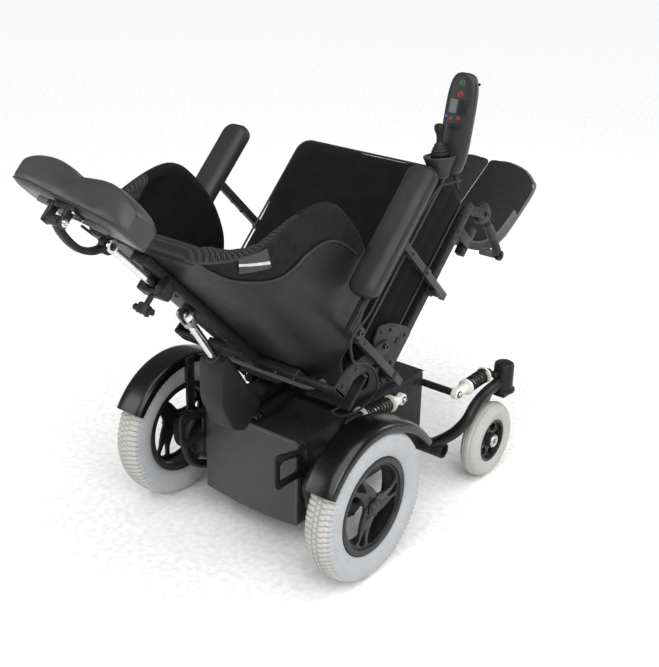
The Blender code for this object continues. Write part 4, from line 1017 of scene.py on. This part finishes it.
def actuators():
    lug_fwd, lug_up = 70, -2
    head = (TILT_PIVOT[0] + (lug_fwd - lug_up) * HALF_ROOT, TILT_PIVOT[1] + (lug_fwd + lug_up) * HALF_ROOT)
    reach, ram = along(base, RAM_FOOT, head)
    axis = ram(1) - ram(0)
    kit = Kit(PLASTIC)
    kit.lathe([(0, 7), (8, 7), (8, 33), (16, 34), (17, 37), (17, 136), (15, 140), (9.5, 140)], ram(0),
              axis, 32)
    kit.lathe([(5.3, -9), (9, -9), (9, 9), (5.3, 9), (5.3, -9)], ram(0), X, 24)
    kit.done("tilt_actuator_tube", "tilt_actuator", ("tilt_actuator",), "black_plastic")
    kit = Kit(CHROME).rod(ram(92), ram(reach - 4), 9, n=28)
    kit.use(STEEL).rod(ram(reach, 0, -6), ram(reach, 0, 6), 10)
    kit.done("tilt_rod_bar", "tilt_rod", ("tilt_rod",), "steel")

    reach, line = along(seat, RECLINE_FOOT, RECLINE_PIN)
    axis = line(1) - line(0)
    wedge = [(30, -16), (22, 56), (60, 80), (140, 68), (196, 30), (216, 16), (216, -16)]
    kit = Kit(PLASTIC).plate([rounded(wedge, 16, 6)], (-34, 34), line, 10)
    kit.lathe([(10.6, 217), (16, 217), (16, 205), (16, 26), (9, 24), (9, 4), (0, 4)], line(0), axis, 32)
    kit.rod(line(0, 0, -14), line(0, 0, 14), 11)
    kit.use(SOFT_PLASTIC).lathe([(10.6, 220), (15, 220), (16.4, 218), (16.4, 210)], line(0), axis, 32)
    kit.done("recline_actuator_case", "recline_actuator", ("recline_actuator",), "black_plastic")
    kit = Kit(CHROME).rod(line(158), line(reach - 16), 10, n=32).use(STEEL)
    kit.lathe([(r, reach - t) for r, t in ((10, 30), (13, 30), (14, 29), (14, 17), (13, 16), (0, 16))],
              line(0), axis, 32)
    for s in (-1, 1):
        kit.bar((7, 14), lambda a, b, t: line(a, b, s * t), (reach, 0), (reach - 24, 0), 10, 10, 0.8)
    kit.rod(line(reach, 0, -18), line(reach, 0, 18), 5)
    kit.use(CHROME).lathe([(0, 0), (12, 0), (13, 2), (12, 5), (8, 7), (0, 7)], line(reach, 0, -16), -X, 28)
    kit.done("recline_rod_bar", "recline_rod", ("recline_rod",), "steel")


# ---- back --------------------------------------------------------------------------------------

REAR, HALF, CORNER = -140.0, 215.0, 110.0
WIDEST, SIDE_TURN = 440.5, 0.46 * math.pi
SPREAD = [(66, 128), (110, 190), (180, 226), (204, 318), (240, 384), (300, 420), (370, 438),
          (440, 440), (484, 428), (518, 398), (550, 348), (582, 280), (612, 216), (636, 170),
          (655, 118)]
SEAM = [(-400, 330), (-390, 392), (-366, 440), (-322, 472), (-282, 488), (-238, 512), (-206, 544),
        (-174, 584), (-158, 624), (-146, 668)]
COLUMNS = 64


def on_back(walk, inset, up):
    """A place on the curved back, walked from its middle at a depth inside its outer face."""
    flat, quarter = HALF - CORNER, CORNER * math.pi / 2
    sign, walk = (1 if walk >= 0 else -1), abs(walk)
    if walk < flat:
        x, fwd = walk, REAR + inset
    elif walk < flat + quarter:
        a = (walk - flat) / CORNER
        x = flat + (CORNER - inset) * math.sin(a)
        fwd = REAR + CORNER - (CORNER - inset) * math.cos(a)
    else:
        x, fwd = HALF - inset, REAR + CORNER + walk - flat - quarter
    return seat(sign * x, fwd, up)


def back_skin(depth, trim=0.0):
    """Rows of points over the back at depth(walk, up, span), and where each one lies."""
    rows, places = [], []
    for p in spline(SPREAD, 7):
        up, span = p.x, min(p.y, WIDEST) - trim
        turns = [SIDE_TURN * (2 * k / COLUMNS - 1) for k in range(COLUMNS + 1)]
        places.append([(span * math.sin(turn) / math.sin(SIDE_TURN), up) for turn in turns])
        rows.append([on_back(walk, depth(walk, up, span), up) for walk, up in places[-1]])
    return rows, places


def back_rim(rows, places, depth):
    """The band that closes a skin all round, down to a depth."""
    inner = [[on_back(walk, depth, up) for walk, up in line] for line in places]
    return [grid[0] + [row[-1] for row in grid[1:-1]] + grid[-1][::-1] + [row[0] for row in grid[-2:0:-1]]
            for grid in (rows, inner)]


def seam_height(walk):
    """Height of the seam at a walk, held flat beyond its ends."""
    walk = -abs(walk)
    if walk <= SEAM_LINE[0][0]:
        return SEAM_LINE[0][1]
    for (w0, u0), (w1, u1) in zip(SEAM_LINE, SEAM_LINE[1:]):
        if w0 <= walk <= w1:
            return u0 + (u1 - u0) * (walk - w0) / (w1 - w0)
    return SEAM_LINE[-1][1]


def pleats():
    """Folds as (walk, phase, width, strength)."""
    rng = random.Random(7)
    return [(rng.uniform(-420, -210), rng.uniform(0, 6.28), rng.uniform(14, 30), rng.uniform(0.4, 1.4))
            for _ in range(16)]


SEAM_LINE = [(p.x, p.y) for p in spline(SEAM, 6)]
PLEATS = pleats()


def gather(walk, up):
    """Small pleats above the seam, running across the wing's edge."""
    above = up - seam_height(walk)
    if above < 0 or abs(walk) < 150:
        return 0.0
    total = 0.0
    for place, phase, wide, strength in PLEATS:
        d = (-abs(walk) - place) / wide
        total += strength * math.exp(-d * d) * math.sin(up * 0.21 + walk * 0.13 + phase)
    ripple = 0.8 * math.sin(walk * 0.36 + up * 0.08) * (1 - smoothstep(16, 60, above))
    return smoothstep(0, 12, above) * (total * 1.7 + ripple * 2.0)


def quarter_round(t):
    return math.sqrt(max(0, 1 - (1 - t) ** 2))


def back_shell():
    def depth(walk, up, span):
        edge = min(span - abs(walk), 12) / 12
        above = up - seam_height(walk)
        swell = 2.6 - 2.6 * quarter_round(edge) + gather(walk, up) * edge
        return max(-3, swell - 1.8 * math.exp(-(above / 26) ** 2) + 2.6 * math.exp(-(above / 7) ** 2))

    rows, places = back_skin(depth)

    def cover(i, k):
        walk, up = places[i][k]
        middle = abs(walk) < 30
        if up < seam_height(walk) and not middle:
            return 0
        if middle or up > 640 or (abs(walk) < 150 and up > 628):
            return 2 if up > 628 else 0
        return 1

    kit = Kit(VINYL, NYLON, MESH).rows(rows, ring=False, uv=places, mark=cover)
    kit.rows(back_rim(rows, places, 7), caps=False)
    kit.done("back_shell_cover", "back", ("back_shell",), "black_vinyl", 80)

    kit = Kit(BLACK_PIPE)
    for s in (-1, 1):
        kit.tube([on_back(-s * walk, -3.2, up) for walk, up in SEAM_LINE], 3.0, 10)
    kit.done("back_shell_piping", "back", (), "black_vinyl")

    # a plain tag with one pale stripe
    a, b, c, d = (Vector(v) for v in ((-216, 626), (-264, 590), (-246, 548), (-198, 590)))
    rows = []
    for i in range(33):
        u = i / 32
        spots = [(a * (1 - u) + b * u) * (1 - k / 32) + (d * (1 - u) + c * u) * (k / 32) for k in range(33)]
        rows.append([on_back(spot.x, -5.4, spot.y) for spot in spots])
    kit = Kit(TAG, TAG_WHITE)
    kit.rows(rows, ring=False, mark=lambda i, k: 1 if 15 <= k - i * 0.3 + 4 <= 20 else 0)
    kit.done("back_shell_tag", "back", (), "black_fabric")


def back_cushion():
    """Thick in the middle and thin at the wings, with rounded rims and two quilting lines."""
    quilt = 128

    def depth(walk, up, span):
        walk_in = abs(walk)
        tall = quarter_round(min(1.0, (up - 66) / 30, (655 - up) / 26))
        edge = quarter_round(min(1.0, (span - walk_in) / 26))
        thick = 8 + 38 * (1 - 0.46 * smoothstep(150, 330, walk_in)) * edge * tall
        return thick - gather(walk, up) * 0.8 * edge - 3.4 * math.exp(-((walk_in - quilt) / 8) ** 2) * edge

    rows, places = back_skin(depth, 1.0)
    widths = [p.y for p in spline(SPREAD, 7)]

    def cover(i, k):
        walk, up = abs(places[i][k][0]), places[i][k][1]
        return 1 if walk < quilt or (up > 540 and widths[i] - walk < 70) else 0

    kit = Kit(KNIT, MESH).rows(rows, ring=False, uv=places, mark=cover)
    kit.use(MESH).rows(back_rim(rows, places, 6.5), caps=False)
    pad = kit.done("back_cushion_pad", "back", ("back_cushion",), "black_fabric", 80)


def back_frame():
    """Cane plates, cross plate, recline ears, the stem's clamp and the grey lumbar rail."""
    kit = Kit(FRAME).block(seat, (-130, 130), (-158, -140.4), (150, 200), 3, 3)
    kit.block(seat, (-22, 22), (-160, -140.4), (150, 640), 3, 3)
    kit.bar((-5, 5), across_seat(1), RECLINE_PIN, (-154, 453), 12, 13)
    ear = rounded([(-158, 150), (-158, 200), (-100, 190), (-5, 118), (14, 100), (-5, 82), (-30, 92),
                   (-110, 150)], 9)
    for s in (-1, 1):
        kit.use(HINGE_GREY).plate([ear], (226.8, 232), across_seat(s), 1)
        kit.screws(seat, X * s, ((s * 232, *RECLINE_HINGE, 7, 5), (s * 232, -138, 175, 5, 4),
                                 (s * 232, -90, 160, 4, 3)))
        kit.use(FRAME).block(seat, two(s, 128, 232), (-158, -149), (152, 198), 2)
        kit.block(seat, two(s, 9, 34), (-190, -150), (545, 575), 3)
        kit.screws(seat, -SEAT_FWD, [(s * x, -158, 175, 5, 4) for x in (60, 110)])
    kit.block(seat, (-32, 32), (-191, -181), (547, 573), 2.5)
    kit.screws(seat, -SEAT_FWD, [(0, -160, up, 4.4, 3.4) for up in (230, 300, 380, 500, 610)])
    rail = [(-150, 134), (-110, 116), (-60, 108), (0, 106), (60, 108), (110, 116), (150, 134)]
    kit.use(GREY_RIM).tube(spline([on_back(walk, -9, up) for walk, up in rail], 8), 8.5, 20)
    for walk in (-150, 150):
        spot = on_back(walk, -9, 134)
        kit.lathe([(0, 0), (10, 0), (11, 1.5), (11, 5), (9.5, 6.5), (0, 6.5)], spot,
                  spot - on_back(walk * 0.9, -9, 128), 24)
    kit.done("back_frame_plates", "back", ("back_frame",), "black_frame")


# ---- cushions ----------------------------------------------------------------------------------

QUARTERS = ((1, 1, 0), (-1, 1, 90), (-1, -1, 180), (1, -1, 270))


def plumped(obj):
    """Cloth simulation under a little air pressure; no point may move more than 5 mm."""
    furthest = 0.005
    start = [v.co.copy() for v in obj.data.vertices]
    settings = obj.modifiers.new("cloth", "CLOTH").settings
    settings.quality, settings.use_pressure, settings.uniform_pressure_force = 5, True, 2.5
    settings.tension_stiffness = settings.compression_stiffness = 30
    settings.bending_stiffness = 2.0
    settings.effector_weights.gravity = 0
    for number in range(1, 15):
        bpy.context.scene.frame_set(number)
    seen = obj.evaluated_get(bpy.context.evaluated_depsgraph_get())
    moved = [v.co.copy() for v in seen.data.vertices]
    obj.modifiers.clear()
    for v, a, b in zip(obj.data.vertices, start, moved):
        step = b - a
        v.co = a + step * min(1.0, furthest / max(step.length, 1e-9))
    bpy.context.scene.frame_set(1)


def seat_cushion():
    """A boxed cushion: a woven band and a knit top between two piped seams."""
    half, rear, front, low, top = 212.0, -45.0, 410.0, 41.4, 176.0
    n = 26

    def ring(inset, corner=30):
        """Points round the plan, as (x, fwd), with straight runs cut into n."""
        def middle(qx, qf):
            return (qx * (half - inset - corner),
                    front - inset - corner if qf > 0 else rear + inset + corner)

        flat = []
        for q, (qx, qf, start) in enumerate(QUARTERS):
            mx, mf = middle(qx, qf)
            flat += [(mx + dx, mf + df) for dx, df in arc_points(0, 0, corner, start, start + 90, 6)]
            nx, nf, turn = QUARTERS[(q + 1) % 4]
            ex, ef = middle(nx, nf)
            ex, ef = ex + corner * math.cos(math.radians(turn)), ef + corner * math.sin(math.radians(turn))
            sx, sf = flat[-1]
            flat += [(sx + (ex - sx) * k / n, sf + (ef - sf) * k / n) for k in range(1, n)]
        return flat

    levels = [(low, 60), (low, 26), (low + 3, 12), (low + 12, 4), (low + 30, 1), (low + 60, 0),
              (low + 66, 1.6), (low + 72, 0), (top - 40, 0), (top - 26, 1.5), (top - 19, 4.6),
              (top - 15, 6.4), (top - 8, 14), (top - 3, 34), (top - 0.6, 80), (top, 130), (top, 170),
              (top, 195)]
    rows, uv = [], []
    for up, inset in levels:
        flat = ring(inset, max(8, 30 - inset * 0.1))
        rows.append([seat(x, f, up) for x, f in flat])
        uv.append([(x, f + up) if up > top - 12 else (x + f, up) for x, f in flat])
    kit = Kit(SEAT_CLOTH, KNIT).rows(rows, uv=uv, mark=lambda i, k: 1 if i >= 11 else 0)
    obj = kit.done("seat_cushion_cover", "seat", ("seat_cushion",), "black_fabric", 80)
    plumped(obj)
    kit = Kit(BLACK_PIPE)
    for up, inset in ((top - 17, 4.0), (low + 8, 5.0)):
        row = [seat(x, f, up) for x, f in ring(inset)]
        kit.tube(row + row[:2], 2.8, 8)
    kit.done("seat_cushion_piping", "seat", (), "black_fabric")


def arm_pad(side, s):
    """A moulded pad with round corners and a slight sag, in rows from its underside up."""
    middle, half, front, rear, corner = s * 258.0, 34.0, 325.0, 16.0, 24.0
    rows = []
    for up, inset in ((298, 8), (298.6, 4.5), (301, 1.2), (305, 0), (312, -0.6), (320, 0), (325, 2.6),
                      (328.6, 6.6), (331, 12), (332, 19), (332, 27)):
        c = max(4, corner - inset * 0.7)
        plan = []
        for qx, qf, start in QUARTERS:
            mf = front - inset - c if qf > 0 else rear + inset + c
            plan += arc_points(middle + qx * (half - inset - c), mf, c, start, start + 90, 7)
        row = []
        for i, (px, pf) in enumerate(plan):
            nx, nf = plan[(i + 1) % len(plan)]
            steps = 12 if abs(nf - pf) > 60 else 1
            for k in range(steps):
                f = pf + (nf - pf) * k / steps
                sag = 1.4 * math.sin((f - rear) / (front - rear) * math.pi) if up > 326 else 0
                row.append(seat(px + (nx - px) * k / steps, f, up - sag))
        rows.append(row)
    obj = Kit(ARM_SKIN).rows(rows).sided(side, "arm_pad", "skin", "armrest", "arm_foam", 70)


def armrest(side, s):
    kit = Kit(FRAME).block(seat, two(s, 250, 266), (-56, 302), (284, 297.7), 2.5, 3)
    kit.block(seat, two(s, 250, 266), (-58, -28), (246, 288), 4, 3)
    x, sleeve, slider = two(s, 233, 247), 170.2, 172
    kit.use(POST).block(seat, x, (slider, 190), (-10, 294), 1.8)
    kit.use(BLACK).block(seat, (x[0] - 1.8, x[1] + 1.8), (sleeve, 191.8), (96, 122), 1.4)
    kit.block(seat, two(s, 236, 258), (174, 188), (286, 296), 2)
    kit.bolt(seat(s * 266, *ARM_HINGE), X * s, 7, 5)
    kit.bolt(seat(s * 250, *ARM_HINGE), X * -s, 7, 5)
    for up in (109, 190, 232):
        kit.bolt(seat(s * (248.8 if up == 109 else 247), 181, up), X * s, 3.2, 2.4)
        kit.bolt(seat(s * 240, sleeve if up == 109 else slider, up), -SEAT_FWD, 3.2, 2.4)
    kit.screws(seat, -SEAT_UP, [(s * 258, fwd, 284, 4, 3) for fwd in (60, 270)])
    kit.sided(side, "armrest", "frame", "armrest", "black_frame")


# ---- headrest ----------------------------------------------------------------------------------

PAD_HALF, PAD_TALL, PAD_TOP, PAD_YAW, PAD_ROLL = 156.0, 92.0, 868.0, 0.108, 0.033


def headrest_mount():
    kit = Kit(CHROME).block(seat, (-8, 8), (-180, -166), (516, 718), 2)
    kit.pin(seat, -16, 16, HEAD_JOINT, 13, n=32)
    for s in (-1, 1):
        kit.bolt(seat(s * 16, *HEAD_JOINT), X * s, 5, 4)
    kit.done("headrest_stem_bar", "headrest_stem", ("headrest_stem",), "steel")

    kit = Kit(PLASTIC).rod(seat(0, -192.3, 560), seat(0, -226, 560), 6)
    kit.lathe([(0, 20), (13, 20), (15, 22), (15, 38), (13, 40), (9, 41), (8, 38), (0, 38)],
              seat(0, -192, 560), -SEAT_FWD, 32)
    wings = [(-24, -222), (-14, -223), (0, -224), (14, -223), (24, -222)]
    kit.tube(spline([seat(x, fwd, 560) for x, fwd in wings], 5), 6, 16,
             taper=lambda t: 0.85 + 0.3 * abs(2 * t - 1) ** 2)
    kit.use(CHROME).lathe([(0, 40.6), (7.6, 40.6), (7, 42), (3, 42.6), (0, 42.6)], seat(0, -192, 560),
                          -SEAT_FWD, 28)
    kit.done("headrest_knob_grip", "headrest_knob", ("headrest_knob",), "black_plastic")

    path = [(-182, 730), (-200, 748), (-211, 772), (-214, 798), (-210, 830), HEAD_PIN]
    kit = Kit(BLACK).tube(spline([seat(0, *p) for p in path], 8), 9, 24, across=(8.5, 6.5))
    kit.pin(seat, -14, 14, HEAD_PIN, 10, n=28)
    kit.lathe([(13.6, -6.5), (18, -6.5), (18, 6.5), (13.6, 6.5), (13.6, -6.5)], seat(0, *HEAD_JOINT), X, 32)
    kit.bolt(seat(0, -217.6, 798), -SEAT_FWD, 3, 2.4)
    kit.done("headrest_arm_bar", "headrest_arm", ("headrest_arm",), "black_frame")


def headrest_pad():
    """A contoured leather pad, thicker at its wings, with wrinkles, piping and its bracket."""
    columns, around = ((48, 40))
    rng = random.Random(3)
    wrinkles = [(rng.uniform(-1, 1), rng.uniform(0, 6.28), rng.uniform(5, 9)) for _ in range(9)]
    rows = []
    for i in range(columns + 1):
        x = PAD_HALF * math.sin((2 * i / columns - 1) * math.pi / 2)
        u = abs(x) / PAD_HALF
        thick = 60 + 14 * math.sin(u * math.pi) - 12 * u ** 4
        tall = PAD_TALL * math.sqrt(max(0.02, 1 - 0.45 * u ** 6))
        shut = math.sqrt(max(0.0, 1 - max(0.0, (u - 0.9) / 0.1) ** 2.6))
        mid_f = REAR - 30 + PAD_YAW * x + thick / 2
        mid_u = PAD_TOP + PAD_ROLL * x - PAD_TALL / 2
        row = []
        for k in range(around):
            a = 2 * math.pi * k / around
            dent = sum(1.1 * math.exp(-((x / PAD_HALF - place) * 9) ** 2) * math.sin(a * wide + phase)
                       for place, phase, wide in wrinkles)
            fwd = power(math.cos(a), 0.44) * thick / 2 * (0.72 + 0.28 * shut)
            up = power(math.sin(a), 0.5) * tall / 2 * (0.76 + 0.24 * shut)
            row.append(seat(x, mid_f + fwd * (1 - dent / 60), mid_u + up * (1 - dent / 60)))
        rows.append(row)
    pad = Kit(LEATHER).rows(rows).done("headrest_pad_cover", "headrest_pad", ("headrest_pad",),
                                       "black_vinyl", 80)

    kit = Kit(BLACK_PIPE)
    for k in (int(around * 0.36), int(around * 0.64)):
        kit.tube([row[k] for row in rows[2:-2]], 2.4, 8)
    strip = [seat(x, REAR - 31.5 + PAD_YAW * x, 830 + PAD_ROLL * x) for x in range(-96, 97, 8)]
    kit.use(GREY_RIM).tube(strip, 4, 16, across=(7, 1.6))
    kit.use(BLACK).block(seat, (-34, 34), (-178, -168), (820, 864), 2)
    for s in (-1, 1):
        kit.block(seat, two(s, 16.5, 25), (-210, -172), (846, 866), 3, 3)
        kit.bolt(seat(s * 25, *HEAD_PIN), X * s, 5, 4, material=CHROME)
        for up in (827, 856):
            kit.bolt(seat(s * 30, -178, up), -SEAT_FWD, 3, 2, material=ALLOY)
    kit.done("headrest_pad_bracket", "headrest_pad", (), "black_frame")


# ---- joystick ----------------------------------------------------------------------------------

PITCH, POD_LONG = math.radians(33), 210.0
STICK, LEAN = Vector((14, 36, 28)), Vector((0.12, 0.97, 0.206))


def pod(x, along, out):
    """A place on the joystick pod: across it, along it from its rear end, and out of its face."""
    return seat(-283 + x, 346 + along * math.cos(PITCH) - out * math.sin(PITCH),
                262 + along * math.sin(PITCH) + out * math.cos(PITCH))


def pod_shell():
    """Rows round the pod at levels of (out, rear half width, front half width, inset)."""
    levels = [(-13, 27, 28, 9), (-12.4, 29, 30, 6), (-11, 31, 31, 3.6), (-8, 32, 32.4, 1.6),
              (-2, 32.8, 33.4, 0.4), (4, 33, 34, 0), (5, 33, 34, 0.9), (6, 33, 34, 0), (11, 32.6, 33.6, 0.8),
              (14, 30, 32, 3.4), (15.4, 28.6, 30.6, 6), (16, 27, 29, 9)]
    rows = []
    for out, rear, front, inset in levels:
        row = []
        for k in range(56):
            a = 2 * math.pi * k / 56
            along = POD_LONG / 2 + (POD_LONG / 2 - inset) * power(math.cos(a), 0.5)
            width = rear + (front - rear) * along / POD_LONG - inset
            row.append(pod(width * power(math.sin(a), 0.62), along, out))
        rows.append(row)
    return rows


def joystick():
    out_axis = (pod(0, 0, 1) - pod(0, 0, 0)).normalized()
    start = pod(*STICK)
    axis = (pod(*(STICK + LEAN)) - start).normalized()
    kit = Kit(POD).rows(pod_shell())
    kit.lathe([(0, -46), (12, -46), (20, -36), (30, -16), (35, -3), (36, 0), (35, 1.6), (32.6, 1.2),
               (31.6, -1), (30, -8), (27, -13.6), (0, -13.6)], start, axis, 56)
    kit.use(BLACK).tube(spline([seat(-259, 310, 287), seat(-266, 332, 280), seat(-276, 356, 268)], 6), 8, 20)
    screen = rounded([(-21, 124), (21, 124), (21, 156), (-21, 156)], 4)
    kit.use(SCREEN).plate([screen], (15.8, 16.6), pod, 0.3)
    kit.use(BLUE).lathe([(0, 0), (2.6, 0), (2.4, 0.8), (0, 1.0)], pod(24, 118, 15.6), out_axis, 20)
    kit.use(PLASTIC)
    for y in (96, 100, 104):
        kit.plate([rounded([(-16, y), (16, y), (16, y + 1.6), (-16, y + 1.6)], 0.6)], (15.8, 17), pod, 0.3)
    for x, y in ((-24, 22), (24, 22), (-24, 190)):
        kit.bolt(pod(x, y, -12.6), -out_axis, 3, 1.4, washer=False)
    boot = [pod(-12, 4, -2), pod(-14, -8, -6), pod(-14, -18, -12), pod(-13, -28, -20)]
    kit.use(BELLOWS).tube(spline(boot, 6), 5.4, 18,
                          taper=lambda t: (1 - 0.45 * t) * (1 + 0.1 * math.sin(t * 50)))
    kit.done("joystick_pod_case", "armrest_right", ("joystick_pod",), "black_plastic")

    centre = pod(*(STICK - 3 * LEAN))
    kit = Kit(STEEL).lathe([(22, -2), (26.5, -2), (26.5, 2), (22, 2), (22, -2)], centre, axis, 48)
    kit.done("joystick_gimbal_ring", "joystick_gimbal", ("joystick_gimbal",), "black_plastic")

    ribs = [(0, -6), (7, -6), (18, 4), (20.5, 8), (20.5, 10), (17.5, 12), (18.4, 15), (15, 18), (15.4, 21),
            (12, 24), (12.2, 27), (9, 30), (6.6, 33)]
    knob = [(6.6, 32), (6.4, 38), (6.2, 44), (7, 50), (9, 55), (10.4, 60), (10, 65), (8, 68.6), (4.5, 70.2),
            (0, 70.6)]
    kit = Kit(BELLOWS).lathe(ribs, centre, axis, 48).use(GRIP).lathe(knob, centre, axis, 40)
    kit.done("joystick_knob", "joystick", ("joystick",), "black_plastic")

    for name, x, y, r, colour, slot in (("power_key", 0, 188, 8, GREEN, "key_green"),
                                        ("horn_key", 0, 165, 8, RED, "key_red"),
                                        ("mode_key", -4, 116, 5, RED, "key_red"),
                                        ("profile_key", 14, 114, 5, RED, "key_red")):
        kit = Kit(colour).lathe([(0, 0), (r, 0), (r, 2.6), (r - 0.8, 3.6), (r - 2.4, 4.1), (0, 4.2)],
                                pod(x, y, 13), out_axis, 36)
        kit.done(name + "_cap", name, (name,), slot)


# ---- legrests and footplates -------------------------------------------------------------------

def legrest(side, s):
    kit = Kit(FRAME).bar((188, 205.5), across_seat(s), KNEE, (440, -86), 26, 14, 2.5)
    shin = [(186, 436, -78), (184, 442, -120), (183, 432, -190), (182, 424, -240)]
    sleeve = [(183.6, 441, -132), (183.3, 437, -160), (183, 432, -190)]
    kit.tube(spline([seat(s * x, f, u) for x, f, u in shin], 8), 11, 24)
    kit.use(POST).tube(spline([seat(s * x, f, u) for x, f, u in sleeve], 4), 12, 24)
    kit.use(FRAME).pin(seat, s * 176, s * 188, ANKLE, 13, n=28)
    kit.block(seat, two(s, 176, 188), (414, 432), (-262, -236), 2)
    kit.screws(seat, X * s, ((s * 205.5, *KNEE, 7, 5), (s * 188, *ANKLE, 5, 4)))
    kit.bolt(seat(s * 195, 450, -140), SEAT_FWD, 3, 2)
    kit.sided(side, "legrest", "tube", "legrest", "black_frame")


def footplate(side, s):
    """A ribbed tread with a rolled edge, a grey heel rim and its adjusting link."""
    tip = math.radians(-12.5)

    def tread(a, b, t):
        return seat(s * a, 416 + b * math.cos(tip) - t * math.sin(tip),
                    -253 + b * math.sin(tip) + t * math.cos(tip))

    plan = [(2.5, 0), (2.5, 150), (2.5, 292), (12, 297), (26, 298), (60, 299), (110, 286), (148, 258),
            (168, 222), (171, 90), (166, 44), (150, 14), (120, 0)]
    kit = Kit(GRIP).plate([rounded(plan, 14, 5)], (0.4, 8.6), tread, 1.6)
    for b in range(40, 241, 25):
        wide = 158 - max(0, b - 230) * 1.2
        kit.plate([rounded([(18, b), (wide, b), (wide, b + 3), (18, b + 3)], 1.2)], (8, 9.1), tread, 0.3)
    rim = [(9, 3.5), (60, 3.5), (118, 4), (146, 17), (161, 46), (166, 80), (168, 130)]
    kit.use(GREY_RIM)
    for t in (9, 14, 19, 24):
        kit.tube(spline([tread(a, b, t) for a, b in rim], 6), 4.4, 12)
    lip = [(7, 1.5), (60, 1.5), (120, 2), (149.5, 15), (165, 45), (170, 90), (168.6, 222), (149, 257),
           (110, 285), (60, 298), (27, 295)]
    kit.tube(spline([tread(a, b, 4) for a, b in lip], 6), 4.2, 14)
    kit.pin(seat, s * 128, s * 175.7, ANKLE, 10, n=28)
    kit.bar((-3.4, 0.6), tread, (34, 96), (96, 130), 15, 24)
    kit.screws(tread, tread(0, 0, 0) - tread(0, 0, 1), ((96, 130, -3.2, 6, 4), (34, 96, -3.2, 4, 3)))
    kit.sided(side, "footplate", "tread", "footplate", "black_plastic")


# ---- joystick cable ----------------------------------------------------------------------------

def joystick_cable():
    """The joystick's lead, from the pod under the arm pad and down to the seat's underside."""
    points = [(-296, 352, 236), (-298, 330, 262), (-290, 300, 286), (-286, 240, 292),
              (-286, 140, 292), (-284, 50, 291), (-279, -8, 284), (-273, -66, 290), (-270, -92, 258),
              (-256, -92, 212), (-246, -70, 156), (-238, -66, 100), (-226, -74, 52), (-208, -92, 14),
              (-188, -136, 8), (-170, -168, 30), (-158, -172, 56), (-152, -161, 40), (-150, -152, 27)]
    path = spline([seat(*p) for p in points], 8)
    curve = bpy.data.curves.new("joystick_lead", "CURVE")
    curve.dimensions = "3D"
    line = curve.splines.new("POLY")
    line.points.add(len(path) - 1)
    for point, p in zip(line.points, path):
        point.co = (*p, 1)
    curve.bevel_depth, curve.bevel_resolution, curve.use_fill_caps = 2.6 * MM, 4, True
    curve.materials.append(SOFT_PLASTIC)
    obj = bpy.data.objects.new("joystick_lead", curve)
    bpy.context.scene.collection.objects.link(obj)
    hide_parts("joystick_cable")
    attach(obj, "seat")


# ---- floor and light ---------------------------------------------------------------------------

def aimed(light, spot, way):
    """Puts a lamp at a spot, shining along a direction."""
    lamp = bpy.data.objects.new(light.name, light)
    lamp.location = spot
    lamp.rotation_euler = way.to_track_quat("-Z", "Y").to_euler()
    bpy.context.scene.collection.objects.link(lamp)


def studio():
    """A wide white floor, a broad soft light overhead and softboxes that draw the highlights."""
    reach, target = 80, Vector((0, 0, 0.5))
    mesh = bpy.data.meshes.new("floor")
    mesh.from_pydata([(-reach, -reach, 0), (reach, -reach, 0), (reach, reach, 0), (-reach, reach, 0)], [],
                     [[0, 1, 2, 3]])
    mesh.materials.append(flat_finish("floor", (0.9, 0.9, 0.9), 0.6))
    obj = bpy.data.objects.new("floor", mesh)
    bpy.context.scene.collection.objects.link(obj)
    world = bpy.data.worlds.new("studio")
    world.use_nodes = True
    background = world.node_tree.nodes["Background"]
    background.inputs["Color"].default_value = (1, 1, 1, 1)
    background.inputs["Strength"].default_value = 0.22
    bpy.context.scene.world = world
    sun = bpy.data.lights.new("overhead", "SUN")
    sun.energy, sun.angle = 3.5, math.radians(75)
    aimed(sun, (0, 0, 0), Vector((0.35, -0.4, -1)))
    for name, spot, size, power_w in (("key", (-2.4, 1.2, 1.5), 1.1, 26),
                                      ("far_side", (1.9, 2.2, 1.6), 1.2, 16),
                                      ("front", (-1.2, -2.6, 1.7), 1.2, 22)):
        light = bpy.data.lights.new(name, "AREA")
        light.energy, light.size = power_w, size
        aimed(light, spot, target - Vector(spot))
    bpy.context.scene.view_settings.view_transform = "Standard"


# ---- build -------------------------------------------------------------------------------------

make_camera()
for side, s in RIGHT_LEFT:
    drive_tyre(side, s)
    drive_rim(side, s)
    fender(side, s)
    gear_motor(side, s)
    drive_arm(side, s)
    caster_wheel(side, s)
    caster_mount(side, s)
    shock("rear_" + side, s, 160, REAR_EYE, REAR_TIP)
    shock("front_" + side, s, 236, FRONT_EYE, FRONT_TIP)
for build in (battery_box, base_covers, tilt_bracket, seat_frame, actuators, back_shell, back_cushion,
              back_frame, seat_cushion):
    build()
for side, s in RIGHT_LEFT:
    arm_pad(side, s)
    armrest(side, s)
headrest_mount()
headrest_pad()
joystick()
for side, s in RIGHT_LEFT:
    legrest(side, s)
    footplate(side, s)
joystick_cable()
studio()
